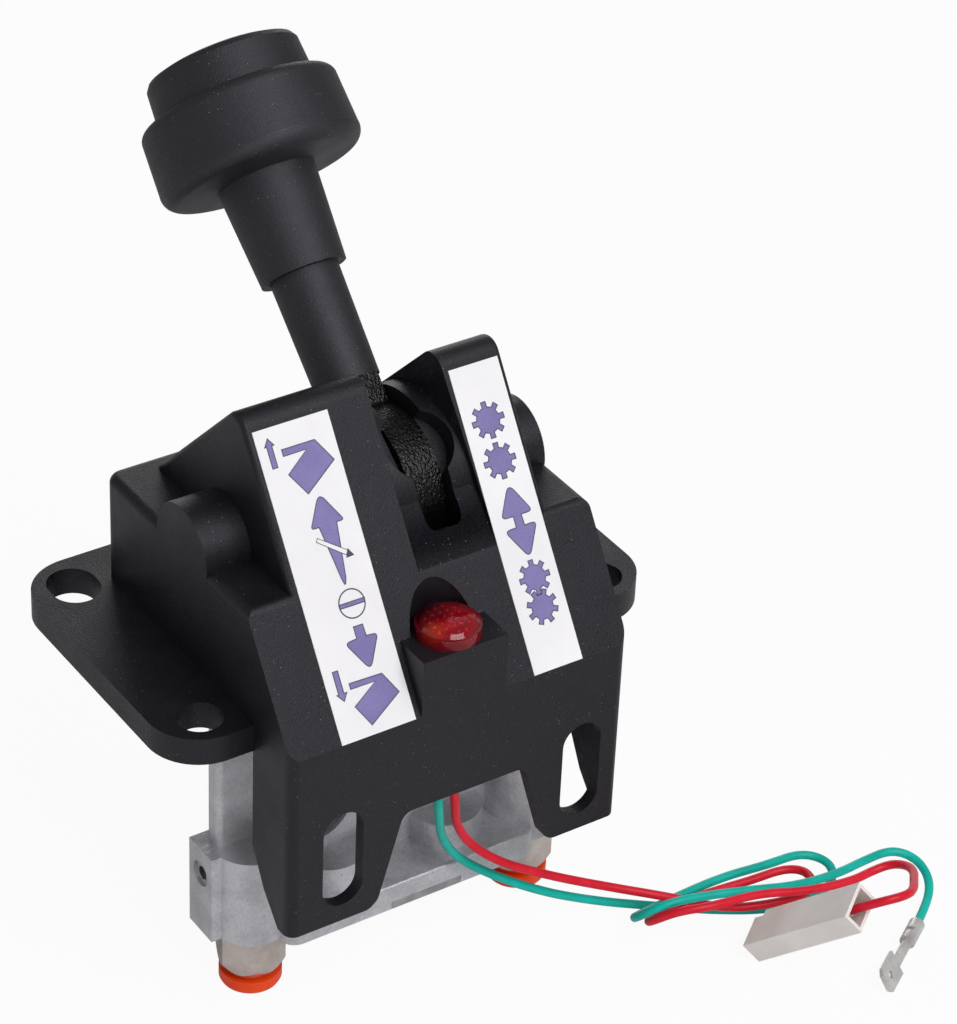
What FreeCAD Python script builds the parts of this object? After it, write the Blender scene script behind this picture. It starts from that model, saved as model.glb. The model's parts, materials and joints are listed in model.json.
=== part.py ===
import FreeCAD, Part
import math
import os
import re
import Sketcher

V = FreeCAD.Vector
doc = FreeCAD.newDocument("TipperControlValve")
sheet = doc.addObject("Spreadsheet::Sheet", "Sizes")

# Millimetres and degrees. Z is up, the release rings stand on z = 0, the operator side is -Y.
SIZES = {
    "flange_width": 120.0,
    "flange_front": 29.7,
    "flange_back": 42.3,
    "flange_base": 73.0,
    "flange_thick": 6.5,
    "flange_corner": 12.0,
    "front_hole_across": 50.0,
    "front_hole_ahead": 21.6,
    "front_hole_dia": 10.0,
    "rear_hole_behind": 32.5,
    "rear_hole_dia": 11.0,
    "rear_hole_stretch": 2.0,
    "shell_width": 83.6,
    "shell_back": 33.4,
    "shoulder_height": 105.7,
    "shoulder_round": 2.0,
    "shell_corner": 3.5,
    "front_corner": 2.5,
    "ridge_edge": 1.2,
    "skirt_front": 44.2,
    "crease_height": 78.8,
    "slope_angle": 56.4,
    "ridge_back_angle": 45.0,
    "ridge_width": 62.4,
    "ridge_apex_ahead": 4.06,
    "ridge_round": 4.0,
    "wall": 3.0,
    "valley_left": 1.8,
    "valley_right_back": 16.3,
    "valley_right_front": 18.0,
    "drum_radius": 20.5,
    "drum_ramp_angle": 22.0,
    "ramp_drop": 3.0,
    "ramp_back": 18.0,
    "pivot_height": 105.5,
    "lever_offset": 8.0,
    "slot_half": 4.3,
    "slot_front": 23.7,
    "slot_corner": 2.0,
    "slot_back": 25.0,
    "hub_hollow": 18.0,
    "dimple_radius": 8.1,
    "dimple_angle": 55.0,
    "dimple_floor": 15.6,
    "cam_hollow": 14.0,
    "head_room": 40.0,
    "boss_radius": 10.3,
    "bush_radius": 6.0,
    "bush_inner_end": 28.4,
    "bush_outer_end": 38.5,
    "pin_radius": 4.0,
    "run_gap": 0.05,
    "cavity_half_width": 28.2,
    "cavity_half_depth": 13.5,
    "core_front": 19.5,
    "core_height": 100.0,
    "core_inner": 11.4,
    "core_outer": 38.8,
    "pedestal_half": 10.4,
    "pedestal_top": 92.6,
    "pedestal_back": 33.0,
    "lens_ahead": 37.2,
    "lens_pocket": 8.0,
    "lamp_room_half": 7.4,
    "lamp_room_front": 43.0,
    "lamp_room_back": 30.5,
    "lamp_wall": 3.0,
    "skirt_bottom": 32.5,
    "skirt_cut_top": 55.2,
    "skirt_cut_half": 15.2,
    "skirt_flare_half": 21.1,
    "skirt_flare_height": 34.3,
    "skirt_tab_half": 23.2,
    "skirt_shift": 1.25,
    "skirt_slot_across": 30.0,
    "skirt_slot_dia": 9.8,
    "skirt_slot_low": 41.7,
    "skirt_slot_high": 56.2,
    "return_back": 29.2,
    "return_height": 48.1,
    "return_mid_ahead": 33.9,
    "return_mid_height": 39.2,
    "return_low_ahead": 39.7,
    "tab_round": 3.0,
    "gasket_thick": 0.5,
    "column_half": 42.6,
    "column_side": 12.3,
    "column_rear_half": 24.6,
    "gasket_inset": 0.7,
    "cavity_slant_start": 6.5,
    "cavity_slant_end": 22.5,
    "cavity_floor": 6.5,
    "column_depth_half": 16.2,
    "column_base": 38.0,
    "column_corner": 1.5,
    "plate_half": 32.5,
    "plate_front": 28.7,
    "plate_back": 2.4,
    "plate_base": 14.5,
    "plate_thick": 6.5,
    "plate_corner": 4.0,
    "body_edge": 0.6,
    "core_block_half": 28.0,
    "core_block_side": 7.2,
    "core_block_waist": 25.5,
    "core_block_waist_ahead": 6.2,
    "core_block_waist_behind": 8.5,
    "core_block_rear_half": 22.0,
    "port_across": 35.0,
    "port_ahead": 17.2,
    "rear_port_across": 12.5,
    "rear_port_behind": 16.2,
    "port_boss_radius": 8.7,
    "port_boss_base": 15.5,
    "middle_boss_across": 15.0,
    "middle_boss_ahead": 16.2,
    "middle_boss_radius": 8.65,
    "middle_boss_top": 27.5,
    "tab_face": 45.9,
    "tab_near": 9.7,
    "tab_far": 19.2,
    "grub_radius": 3.0,
    "grub_height": 31.2,
    "grub_ahead": 14.4,
    "grub_length": 3.7,
    "drilling_radius": 2.0,
    "port_bore": 6.3,
    "port_depth": 13.0,
    "passage_radius": 3.0,
    "passage_top": 37.0,
    "spot_gap": 0.3,
    "plug_across": 18.0,
    "plug_height": 39.0,
    "plug_radius": 9.0,
    "plug_bore_depth": 9.0,
    "clip_radius": 9.9,
    "clip_inner": 7.8,
    "clip_thick": 1.2,
    "clip_depth": 1.0,
    "chamber_radius": 6.0,
    "plunger_radius": 4.0,
    "plunger_bottom": 54.0,
    "plunger_bore_bottom": 44.0,
    "plunger_flange_radius": 5.9,
    "plunger_flange_thick": 1.5,
    "plunger_head": 4.0,
    "seal_height": 64.0,
    "seal_thick": 2.4,
    "seal_radius": 6.4,
    "cam_base": 8.0,
    "cam_lift": 2.55,
    "cam_travel": 80.0,
    "cam_thick": 6.0,
    "contact_gap": 0.02,
    "hub_radius": 17.3,
    "hub_thick": 8.0,
    "neck_width": 14.7,
    "neck_length": 22.5,
    "rest_tilt": 45.6,
    "shaft_low_radius": 7.35,
    "shaft_radius": 7.75,
    "shaft_step": 64.0,
    "shaft_core": 5.5,
    "shaft_top": 93.0,
    "rod_radius": 2.4,
    "rod_bottom": 14.0,
    "rod_top": 62.0,
    "cross_pin_radius": 1.5,
    "cross_pin_half": 9.0,
    "cross_pin_height": 58.0,
    "collar_lift": 8.0,
    "sleeve_bottom": 48.1,
    "sleeve_low_radius": 9.65,
    "sleeve_high_radius": 11.0,
    "collar_bottom": 71.0,
    "collar_top": 88.5,
    "collar_low_radius": 23.0,
    "collar_high_radius": 22.2,
    "collar_low_round": 3.2,
    "collar_top_round": 2.4,
    "mould_mark": 1.4,
    "recess_radius": 18.5,
    "recess_floor": 78.5,
    "spring_pocket": 9.0,
    "spring_floor": 66.0,
    "cap_bottom": 87.0,
    "cap_low_radius": 18.0,
    "cap_high_radius": 17.35,
    "cap_shoulder": 98.3,
    "cap_top": 99.3,
    "lock_spring_radius": 7.3,
    "lock_spring_wire": 1.4,
    "lock_spring_turns": 4.5,
    "return_spring_radius": 5.3,
    "return_spring_wire": 0.9,
    "return_spring_turns": 6.5,
    "spring_seat_gap": 0.1,
    "ring_radius": 6.95,
    "ring_height": 3.5,
    "ring_round": 1.0,
    "ring_sleeve": 5.25,
    "tube_radius": 4.1,
    "ring_seat": 12.0,
    "fitting_low": 4.2,
    "fitting_low_radius": 6.3,
    "fitting_radius": 8.1,
    "fitting_cone_top": 7.5,
    "fitting_flats": 14.0,
    "fitting_turn": -19.4,
    "tube_stop": 24.0,
    "tube_seal_base": 13.0,
    "tube_seal_thick": 2.4,
    "tube_seal_radius": 5.6,
    "screw_across": 31.0,
    "screw_ahead": 3.0,
    "screw_gap": 0.2,
    "screw_radius": 2.5,
    "screw_head_radius": 4.25,
    "screw_head_height": 5.0,
    "screw_tip": 85.0,
    "screw_socket": 2.0,
    "cover_left": 6.0,
    "cover_right": 12.0,
    "cover_back": 1.0,
    "cover_thick": 2.0,
    "cover_gap": 0.12,
    "cover_screw_radius": 1.5,
    "cover_screw_depth": 3.6,
    "lens_radius": 7.1,
    "lens_rim": 2.5,
    "lens_dome_radius": 6.6,
    "lens_crown": 4.2,
    "lens_inner": 5.5,
    "lens_skin": 1.2,
    "lamp_stem": 4.4,
    "lamp_neck": 3.4,
    "lamp_neck_top": 80.0,
    "lamp_bottom": 71.0,
    "lamp_flange_thick": 1.0,
    "lamp_nut_flats": 9.8,
    "lamp_nut_height": 3.5,
    "bulb_radius": 1.9,
    "bulb_low": 90.0,
    "bulb_high": 95.0,
    "decal_thick": 0.2,
    "decal_left_inner": 11.8,
    "decal_left_outer": 29.6,
    "decal_right_inner": 17.7,
    "decal_right_outer": 29.9,
    "decal_start": 0.2,
    "decal_length": 66.4,
    "wire_radius": 1.0,
    "connector_length": 31.5,
    "connector_width": 9.84,
    "connector_depth": 5.6,
    "connector_wall": 0.85,
    "connector_mouth": 17.0,
    "connector_nose": 9.0,
    "contact_radius": 1.45,
    "contact_thick": 1.2,
    "contact_wide": 3.0,
    "contact_grip": 3.0,
    "contact_sink": 2.9,
    "connector_yaw": -67.7,
    "connector_pitch": -40.8,
    "connector_roll": -71.7,
    "spade_width": 6.3,
    "spade_length": 8.0,
    "spade_thick": 0.8,
    "spade_hole": 0.9,
    "spade_start": 11.6,
    "spade_yaw": -147.1,
    "spade_pitch": 0.0,
    "spade_roll": -60.0,
    "crimp_radius": 1.8,
    "crimp_back": 3.0,
    "crimp_front": 4.0,
    "neck_plate": 2.4,
}

for row, (alias, value) in enumerate(SIZES.items(), start=1):
    sheet.set("A%d" % row, alias.replace("_", " "))
    sheet.set("B%d" % row, str(value))
    sheet.setAlias("B%d" % row, alias)
doc.recompute()

ALIAS_WORDS = re.compile(r"\b(" + "|".join(sorted(SIZES, key=len, reverse=True)) + r")\b")


def size(text):
    return float(sheet.evalExpression(text))


def linked(text):
    return ALIAS_WORDS.sub(r"Sizes.\1", text)


def plane_of(body, role):
    return [item for item in body.Origin.OriginFeatures if item.Role == role][0]


class Outline:
    """A sketch on one origin plane of a body, with every point tied to the size sheet."""

    def __init__(self, body, name, role, offset="0", tilt=None):
        self.sketch = body.newObject("Sketcher::SketchObject", name)
        self.sketch.AttachmentSupport = [(plane_of(body, role), "")]
        self.sketch.MapMode = "FlatFace"
        self.count = 0
        if tilt is not None:
            across, ahead, height, axis, angle = tilt
            turn = FreeCAD.Rotation(axis, size(angle))
            self.sketch.AttachmentOffset = FreeCAD.Placement(V(0, 0, 0), turn)
            self.sketch.setExpression("AttachmentOffset.Base.x", linked(across))
            self.sketch.setExpression("AttachmentOffset.Base.y", linked(ahead))
            self.sketch.setExpression("AttachmentOffset.Base.z", linked(height))
            self.sketch.setExpression("AttachmentOffset.Rotation.Angle", linked(angle))
        elif offset != "0":
            self.sketch.setExpression("AttachmentOffset.Base.z", linked(offset))

    def bind(self, kind, *items):
        text = items[-1]
        constraint = Sketcher.Constraint(kind, *items[:-1], size(text))
        index = self.sketch.addConstraint(constraint)
        self.count += 1
        name = "tie%d" % self.count
        self.sketch.renameConstraint(index, name)
        self.sketch.setExpression("Constraints." + name, linked(text))

    def pin(self, geometry, point, across, up):
        for kind, text, axis in (("DistanceX", across, -2), ("DistanceY", up, -1)):
            if abs(size(text)) < 1e-9:
                self.sketch.addConstraint(Sketcher.Constraint("PointOnObject", geometry, point, axis))
            else:
                self.bind(kind, -1, 1, geometry, point, text)

    def polygon(self, points):
        first = self.sketch.GeometryCount
        total = len(points)
        spots = [V(size(a), size(b), 0) for a, b in points]
        lines = [Part.LineSegment(spots[i], spots[(i + 1) % total]) for i in range(total)]
        self.sketch.addGeometry(lines, False)
        joints = []
        for i in range(total):
            joints.append(Sketcher.Constraint("Coincident", first + i, 2, first + (i + 1) % total, 1))
        self.sketch.addConstraint(joints)
        for i, (a, b) in enumerate(points):
            self.pin(first + i, 1, a, b)
        return self

    def box(self, left, low, right, high):
        return self.polygon([(left, low), (right, low), (right, high), (left, high)])

    def circle(self, across, up, radius):
        index = self.sketch.GeometryCount
        centre = V(size(across), size(up), 0)
        self.sketch.addGeometry(Part.Circle(centre, V(0, 0, 1), size(radius)), False)
        self.pin(index, 3, across, up)
        self.bind("Radius", index, radius)
        return self

    def stadium(self, across, low, high, radius):
        """An upright slot: two half circles joined by straight sides."""
        x, r = size(across), size(radius)
        y0, y1 = size(low), size(high)
        first = self.sketch.GeometryCount
        top = Part.ArcOfCircle(Part.Circle(V(x, y1, 0), V(0, 0, 1), r), 0, math.pi)
        side = Part.LineSegment(V(x - r, y1, 0), V(x - r, y0, 0))
        foot = Part.ArcOfCircle(Part.Circle(V(x, y0, 0), V(0, 0, 1), r), math.pi, 2 * math.pi)
        back = Part.LineSegment(V(x + r, y0, 0), V(x + r, y1, 0))
        self.sketch.addGeometry([top, side, foot, back], False)
        for a, b in ((0, 1), (1, 2), (2, 3), (3, 0)):
            self.sketch.addConstraint(Sketcher.Constraint("Coincident", first + a, 2, first + b, 1))
        self.pin(first, 3, across, high)
        self.pin(first + 2, 3, across, low)
        self.pin(first, 1, "%s + %s" % (across, radius), high)
        self.bind("DistanceY", -1, 1, first, 2, high)
        self.pin(first + 2, 1, "%s - %s" % (across, radius), low)
        self.bind("DistanceY", -1, 1, first + 2, 2, low)
        return self


def new_body(name):
    body = doc.addObject("PartDesign::Body", name)
    body.Label = name
    return body


def solid_step(body, kind, name, outline, length, backwards):
    feature = body.newObject("PartDesign::" + kind, name)
    feature.Profile = outline.sketch
    feature.Length = size(length)
    feature.setExpression("Length", linked(length))
    feature.Reversed = backwards
    doc.recompute()
    if "Invalid" in feature.State or "Error" in feature.State:
        print("PROBLEM", body.Name, name, feature.State)
    return feature


def pad(body, name, outline, length, backwards=False):
    return solid_step(body, "Pad", name, outline, length, backwards)


def pocket(body, name, outline, length, backwards=False):
    before = body.Shape.Volume
    feature = solid_step(body, "Pocket", name, outline, length, backwards)
    if before - feature.Shape.Volume < 1e-3:
        print("PROBLEM nothing cut", body.Name, name)
    return feature


def spin(body, name, points, kind="Revolution"):
    outline = Outline(body, name + "Profile", "XZ_Plane").polygon(points)
    feature = body.newObject("PartDesign::" + kind, name)
    feature.Profile = outline.sketch
    feature.ReferenceAxis = (outline.sketch, ["V_Axis"])
    feature.Angle = 360
    doc.recompute()
    return feature


def turned(name, points):
    body = new_body(name)
    spin(body, name + "Turn", points)
    return body


def soften(body, name, radius, wanted, kind="Fillet"):
    """Round (or bevel) the edges of the newest solid that the test picks."""
    base = body.Tip
    picked = []
    for index, edge in enumerate(base.Shape.Edges, start=1):
        if wanted(edge, edge.CenterOfMass if edge.Length > 0 else None):
            picked.append("Edge%d" % index)
    if not picked:
        print("PROBLEM no edges", body.Name, name)
        return None
    feature = body.newObject("PartDesign::" + kind, name)
    feature.Base = (base, picked)
    key = "Radius" if kind == "Fillet" else "Size"
    setattr(feature, key, size(radius))
    feature.setExpression(key, linked(radius))
    doc.recompute()
    if "Invalid" in feature.State or "Error" in feature.State or feature.Shape.isNull():
        print("PROBLEM", body.Name, name, feature.State, len(picked))
    return feature


def straight_along(edge, axis):
    if edge.Curve.TypeId != "Part::GeomLine":
        return False
    direction = edge.tangentAt(edge.FirstParameter)
    return abs(abs(direction.dot(axis)) - 1) < 1e-4


def near(value, target, slack=0.02):
    return abs(value - target) < slack


# The origin lies under the middle of the valve, halfway from the lamp lens to the cap's rear edge.
MIDDLE = ("(((cap_shoulder - 0.6) * sin(rest_tilt) + (cap_high_radius - 0.8) * cos(rest_tilt)"
          " - lens_ahead - lens_radius) / 2)")


def place(item, across="0", ahead="0", height="0", axis=None, angle="0"):
    """Put an item at a spot given from the lever's pivot line."""
    turn = FreeCAD.Rotation(axis, size(angle)) if axis is not None else FreeCAD.Rotation()
    ahead = "(%s) - %s" % (ahead, MIDDLE)
    item.Placement = FreeCAD.Placement(V(size(across), size(ahead), size(height)), turn)
    item.setExpression("Placement.Base.x", linked(across))
    item.setExpression("Placement.Base.y", linked(ahead))
    item.setExpression("Placement.Base.z", linked(height))
    if axis is not None:
        item.setExpression("Placement.Rotation.Angle", linked(angle))


X_AXIS = V(1, 0, 0)
Y_AXIS = V(0, 1, 0)
Z_AXIS = V(0, 0, 1)
nodes = {}

# Moulded housing: flange, shoulders, two ridges, valley with drum, lamp pedestal and skirt.
housing = new_body("housing")
slope_at = "-skirt_front + ({0} - crease_height) / tan(slope_angle)"
apex_height = "crease_height + (skirt_front - ridge_apex_ahead) * tan(slope_angle)"
ridge_foot = "(%s) - (shell_back + ridge_apex_ahead) * tan(ridge_back_angle)" % apex_height
flange_top = "flange_base + flange_thick"

shoulder_profile = [
    ("-skirt_front", "flange_base"),
    ("shell_back", "flange_base"),
    ("shell_back", "shoulder_height"),
    (slope_at.format("shoulder_height"), "shoulder_height"),
    ("-skirt_front", "crease_height"),
]
pad(housing, "Shoulders", Outline(housing, "ShoulderProfile", "YZ_Plane", "-shell_width / 2")
    .polygon(shoulder_profile), "shell_width")
soften(housing, "ShellCorners", "shell_corner",
       lambda e, c: straight_along(e, Z_AXIS) and c.y > 0)
soften(housing, "ShoulderEdges", "shoulder_round",
       lambda e, c: c.z > size("shoulder_height") - 0.01 and c.y < size("shell_back") + 1)

flange = Outline(housing, "FlangeOutline", "XY_Plane", "flange_base")
flange.box("-flange_width / 2", "-flange_front", "flange_width / 2", "flange_back")
pad(housing, "Flange", flange, "flange_thick")
soften(housing, "FlangeCorners", "flange_corner",
       lambda e, c: straight_along(e, Z_AXIS) and near(abs(c.x), size("flange_width / 2")))

ridge_profile = [
    ("-skirt_front", "crease_height"),
    ("shell_back", "crease_height"),
    ("shell_back", ridge_foot),
    ("-ridge_apex_ahead", apex_height),
]
pad(housing, "Ridges", Outline(housing, "RidgeProfile", "YZ_Plane", "-ridge_width / 2")
    .polygon(ridge_profile), "ridge_width")
soften(housing, "RidgeTop", "ridge_round",
       lambda e, c: straight_along(e, X_AXIS) and near(c.z, size(apex_height)))
soften(housing, "RidgeEdges", "ridge_edge",
       lambda e, c: near(abs(c.x), size("ridge_width / 2")) and c.z > size("shoulder_height") + 1
       and e.BoundBox.XLength < 0.01)
pad(housing, "PivotBosses", Outline(housing, "BossOutline", "YZ_Plane", "-shell_width / 2")
    .circle("0", "pivot_height", "boss_radius"), "shell_width")

valley = Outline(housing, "ValleyPlan", "XY_Plane", "pivot_height + head_room")
valley.polygon([
    ("-valley_left", "-skirt_front"),
    ("valley_right_front", "-skirt_front"),
    ("valley_right_front", "-flange_front"),
    ("valley_right_back", "-ridge_apex_ahead"),
    ("valley_right_back", "shell_back + 1"),
    ("-valley_left", "shell_back + 1"),
])
pocket(housing, "Valley", valley, "head_room")
hollow = Outline(housing, "ValleyFrontPlan", "XY_Plane", "pivot_height + head_room")
hollow.polygon([
    ("-valley_left", "-skirt_front"),
    ("valley_right_front", "-skirt_front"),
    ("valley_right_front", "-flange_front"),
    ("valley_right_front + (valley_right_back - valley_right_front) * (flange_front - ramp_back)"
     " / (flange_front - ridge_apex_ahead)", "-ramp_back"),
    ("-valley_left", "-ramp_back"),
])
pocket(housing, "ValleyFront", hollow, "head_room + ramp_drop + 0.5")
drum = Outline(housing, "DrumProfile", "YZ_Plane", "-valley_left - 2")
drum.circle("0", "pivot_height", "drum_radius")
pad(housing, "Drum", drum, "valley_left + valley_right_front + 4")
ramp = Outline(housing, "RampProfile", "YZ_Plane", "-valley_left - 1")
ramp.polygon([
    (slope_at.format("(pivot_height - ramp_drop - 3)"), "pivot_height - ramp_drop - 3"),
    ("0", "pivot_height - ramp_drop - 3"),
    ("0", "pivot_height + drum_radius * sin(drum_ramp_angle)"),
    ("-drum_radius * cos(drum_ramp_angle)", "pivot_height + drum_radius * sin(drum_ramp_angle)"),
    (slope_at.format("(pivot_height - ramp_drop)"), "pivot_height - ramp_drop"),
])
pad(housing, "FrontRamp", ramp, "valley_left + valley_right_front + 1")
saddle = Outline(housing, "SaddleProfile", "YZ_Plane", "-valley_left - 1")
saddle.polygon([
    ("0", "pivot_height - 3"),
    ("shell_back", "pivot_height - 3"),
    ("drum_radius / sin(45)", "pivot_height"),
    ("shell_back", "pivot_height"),
    ("drum_radius * sin(45)", "pivot_height + drum_radius * sin(45)"),
    ("0", "pivot_height + drum_radius * sin(45)"),
])
pad(housing, "Saddle", saddle, "valley_left + valley_right_back + 1.5")

pedestal = Outline(housing, "PedestalPlan", "XY_Plane", "flange_base")
pedestal.box("-pedestal_half", "-skirt_front", "pedestal_half", "-pedestal_back")
pad(housing, "Pedestal", pedestal, "pedestal_top - flange_base")
pocket(housing, "LensPocket", Outline(housing, "LensPocketPlan", "XY_Plane", "pedestal_top + 30")
       .circle("0", "-lens_ahead", "lens_pocket"), "30")

front = Outline(housing, "SkirtOutline", "XZ_Plane", "skirt_front - wall")
front.polygon([
    ("-shell_width / 2", "crease_height"),
    ("-shell_width / 2", "skirt_bottom"),
    ("skirt_shift - skirt_tab_half", "skirt_bottom"),
    ("skirt_shift - skirt_flare_half", "skirt_flare_height"),
    ("skirt_shift - skirt_cut_half", "skirt_cut_top"),
    ("skirt_shift + skirt_cut_half", "skirt_cut_top"),
    ("skirt_shift + skirt_flare_half", "skirt_flare_height"),
    ("skirt_shift + skirt_tab_half", "skirt_bottom"),
    ("shell_width / 2", "skirt_bottom"),
    ("shell_width / 2", "crease_height"),
])
pad(housing, "Skirt", front, "wall")
for side, start in (("Left", "-shell_width / 2"), ("Right", "shell_width / 2 - wall")):
    cheek = Outline(housing, side + "ReturnProfile", "YZ_Plane", start)
    cheek.polygon([
        ("-skirt_front", "skirt_bottom"),
        ("-return_low_ahead", "skirt_bottom"),
        ("-return_mid_ahead", "return_mid_height"),
        ("-return_back", "return_height"),
        ("-return_back", "flange_base + 1"),
        ("-skirt_front", "flange_base + 1"),
    ])
    pad(housing, side + "Return", cheek, "wall")
soften(housing, "FrontCorners", "front_corner",
       lambda e, c: straight_along(e, Z_AXIS) and near(abs(c.x), size("shell_width / 2"))
       and near(c.y, size("-skirt_front")))
soften(housing, "TabCorners", "tab_round",
       lambda e, c: straight_along(e, Y_AXIS) and near(c.y, size("-skirt_front + wall / 2"))
       and any(near(abs(c.x - size("skirt_shift")), size(name))
               for name in ("skirt_tab_half", "skirt_cut_half", "skirt_flare_half")))

cavity = [
    ("-cavity_half_depth", "flange_base"),
    ("cavity_half_depth", "flange_base"),
    ("cavity_half_depth", "(%s) - cavity_half_depth - ridge_apex_ahead - wall * 1.4142" % apex_height),
    ("-ridge_apex_ahead + 1", "(%s) - wall * 1.4142 - 2" % apex_height),
    ("-ridge_apex_ahead - 1", "(%s) - wall * 1.4142 - 3" % apex_height),
    ("-cavity_half_depth", "crease_height + (skirt_front - cavity_half_depth) * tan(slope_angle)"
     " - wall / cos(slope_angle)"),
]
pocket(housing, "LeftCavity", Outline(housing, "LeftCavityProfile", "YZ_Plane", "-cavity_half_width")
       .polygon(cavity), "cavity_half_width - valley_left - wall", True)
pocket(housing, "RightCavity",
       Outline(housing, "RightCavityProfile", "YZ_Plane", "valley_right_front + wall / 2")
       .polygon(cavity), "cavity_half_width - valley_right_front - wall / 2", True)
middle = Outline(housing, "MiddleCavityProfile", "YZ_Plane", "-valley_left - wall - 1")
middle.box("-cavity_half_depth", "flange_base", "cavity_half_depth", "pivot_height")
pocket(housing, "MiddleCavity", middle, "valley_left + valley_right_front + 2 * wall", True)
pocket(housing, "CamHollow", Outline(housing, "CamHollowProfile", "YZ_Plane", "-valley_left - wall - 1")
       .circle("0", "pivot_height", "cam_hollow"), "valley_left + valley_right_front + 2 * wall", True)
pocket(housing, "HubHollow", Outline(housing, "HubHollowProfile", "YZ_Plane", "lever_offset - slot_half")
       .circle("0", "pivot_height", "hub_hollow"), "2 * slot_half", True)

for side in ("-", ""):
    corner = Outline(housing, "LeftCornerPlan" if side else "RightCornerPlan", "XY_Plane", "flange_base")
    corner.polygon([
        (side + "(cavity_half_width + 0.5)", "cavity_slant_start"),
        (side + "cavity_half_width", "cavity_slant_start"),
        (side + "cavity_slant_end", "cavity_half_depth"),
        (side + "cavity_slant_end", "cavity_half_depth + 0.5"),
        (side + "(cavity_half_width + 0.5)", "cavity_half_depth + 0.5"),
    ])
    pad(housing, "LeftCorner" if side else "RightCorner", corner, "cavity_floor")

slot = Outline(housing, "LeverSlotPlan", "XY_Plane", "pivot_height + head_room")
slot.box("lever_offset - slot_half", "-slot_front", "lever_offset + slot_half", "slot_back")
pocket(housing, "LeverSlot", slot, "head_room - 1 + ramp_drop")
soften(housing, "SlotCorners", "slot_corner",
       lambda e, c: straight_along(e, Z_AXIS) and near(c.y, size("-slot_front"))
       and near(abs(c.x - size("lever_offset")), size("slot_half")))
dimple = Outline(housing, "DimpleOutline", "XY_Plane", tilt=(
    "lever_offset", "-(dimple_floor + 12) * cos(dimple_angle)",
    "pivot_height + (dimple_floor + 12) * sin(dimple_angle)", X_AXIS, "90 - dimple_angle"))
dimple.circle("0", "0", "dimple_radius")
pocket(housing, "Dimple", dimple, "12")

pocket(housing, "PinBore", Outline(housing, "PinBoreProfile", "YZ_Plane", "-bush_outer_end")
       .circle("0", "pivot_height", "bush_radius"), "2 * bush_outer_end", True)

room = Outline(housing, "LampRoomPlan", "XY_Plane", "flange_base")
room.box("-lamp_room_half", "-lamp_room_front", "lamp_room_half", "-lamp_room_back")
pocket(housing, "LampRoom", room, "pedestal_top - lamp_wall - flange_base", True)
pocket(housing, "LampHole", Outline(housing, "LampHolePlan", "XY_Plane", "pedestal_top")
       .circle("0", "-lens_ahead", "lamp_stem"), "lamp_wall + 0.5")

core = [
    ("-skirt_front + wall", "flange_base"),
    ("-skirt_front + wall", "crease_height - 0.9"),
    ("%s + wall / sin(slope_angle)" % slope_at.format("core_height"), "core_height"),
    ("-core_front", "core_height"),
    ("-core_front", "flange_base"),
]
pocket(housing, "LeftFrontCore", Outline(housing, "LeftFrontCoreProfile", "YZ_Plane", "-core_outer")
       .polygon(core), "core_outer - core_inner", True)
pocket(housing, "RightFrontCore", Outline(housing, "RightFrontCoreProfile", "YZ_Plane", "core_inner")
       .polygon(core), "core_outer - core_inner", True)
for side, start in (("Left", "-core_outer"), ("Right", "2")):
    rear = Outline(housing, side + "RearCorePlan", "XY_Plane", "flange_base")
    rear.box(start, "core_front", "%s + core_outer - 2" % start, "shell_back - wall")
    pocket(housing, side + "RearCore", rear, "core_height - flange_base", True)

holes = Outline(housing, "FlangeHoles", "XY_Plane", flange_top)
for side in ("-", ""):
    holes.circle(side + "front_hole_across", "-front_hole_ahead", "front_hole_dia / 2")
    holes.stadium(side + "front_hole_across", "rear_hole_behind - rear_hole_stretch / 2",
                  "rear_hole_behind + rear_hole_stretch / 2", "rear_hole_dia / 2")
pocket(housing, "MountingHoles", holes, "flange_thick")
skirt_slots = Outline(housing, "SkirtSlots", "XZ_Plane", "skirt_front")
for side in ("-", ""):
    skirt_slots.stadium("skirt_shift %s skirt_slot_across" % (side or "+"), "skirt_slot_low", "skirt_slot_high", "skirt_slot_dia / 2")
pocket(housing, "MountingSlots", skirt_slots, "wall")
screw_holes = Outline(housing, "ScrewHoles", "XY_Plane", "flange_base")
for side in ("-", ""):
    screw_holes.circle(side + "screw_across", "-screw_ahead", "screw_radius")
pocket(housing, "ScrewBores", screw_holes, "screw_tip - flange_base + 1", True)
nodes["housing"] = housing

# Gasket between the housing and the aluminium body.
gasket = new_body("body_gasket")
sheet_plan = Outline(gasket, "GasketPlan", "XY_Plane", "flange_base - gasket_thick")
sheet_plan.polygon([
    ("-column_half + gasket_inset", "-column_depth_half + gasket_inset"),
    ("column_half - gasket_inset", "-column_depth_half + gasket_inset"),
    ("column_half - gasket_inset", "-column_side"),
    ("column_rear_half - gasket_inset", "column_depth_half - gasket_inset"),
    ("-column_rear_half + gasket_inset", "column_depth_half - gasket_inset"),
    ("-column_half + gasket_inset", "-column_side"),
])
sheet_plan.polygon([
    ("-cavity_half_width", "-cavity_half_depth"),
    ("cavity_half_width", "-cavity_half_depth"),
    ("cavity_half_width", "cavity_slant_start"),
    ("cavity_slant_end", "cavity_half_depth"),
    ("-cavity_slant_end", "cavity_half_depth"),
    ("-cavity_half_width", "cavity_slant_start"),
])
for side in ("-", ""):
    sheet_plan.circle(side + "screw_across", "-screw_ahead", "screw_radius + screw_gap")
pad(gasket, "GasketSheet", sheet_plan, "gasket_thick")
nodes["body_gasket"] = gasket

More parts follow.
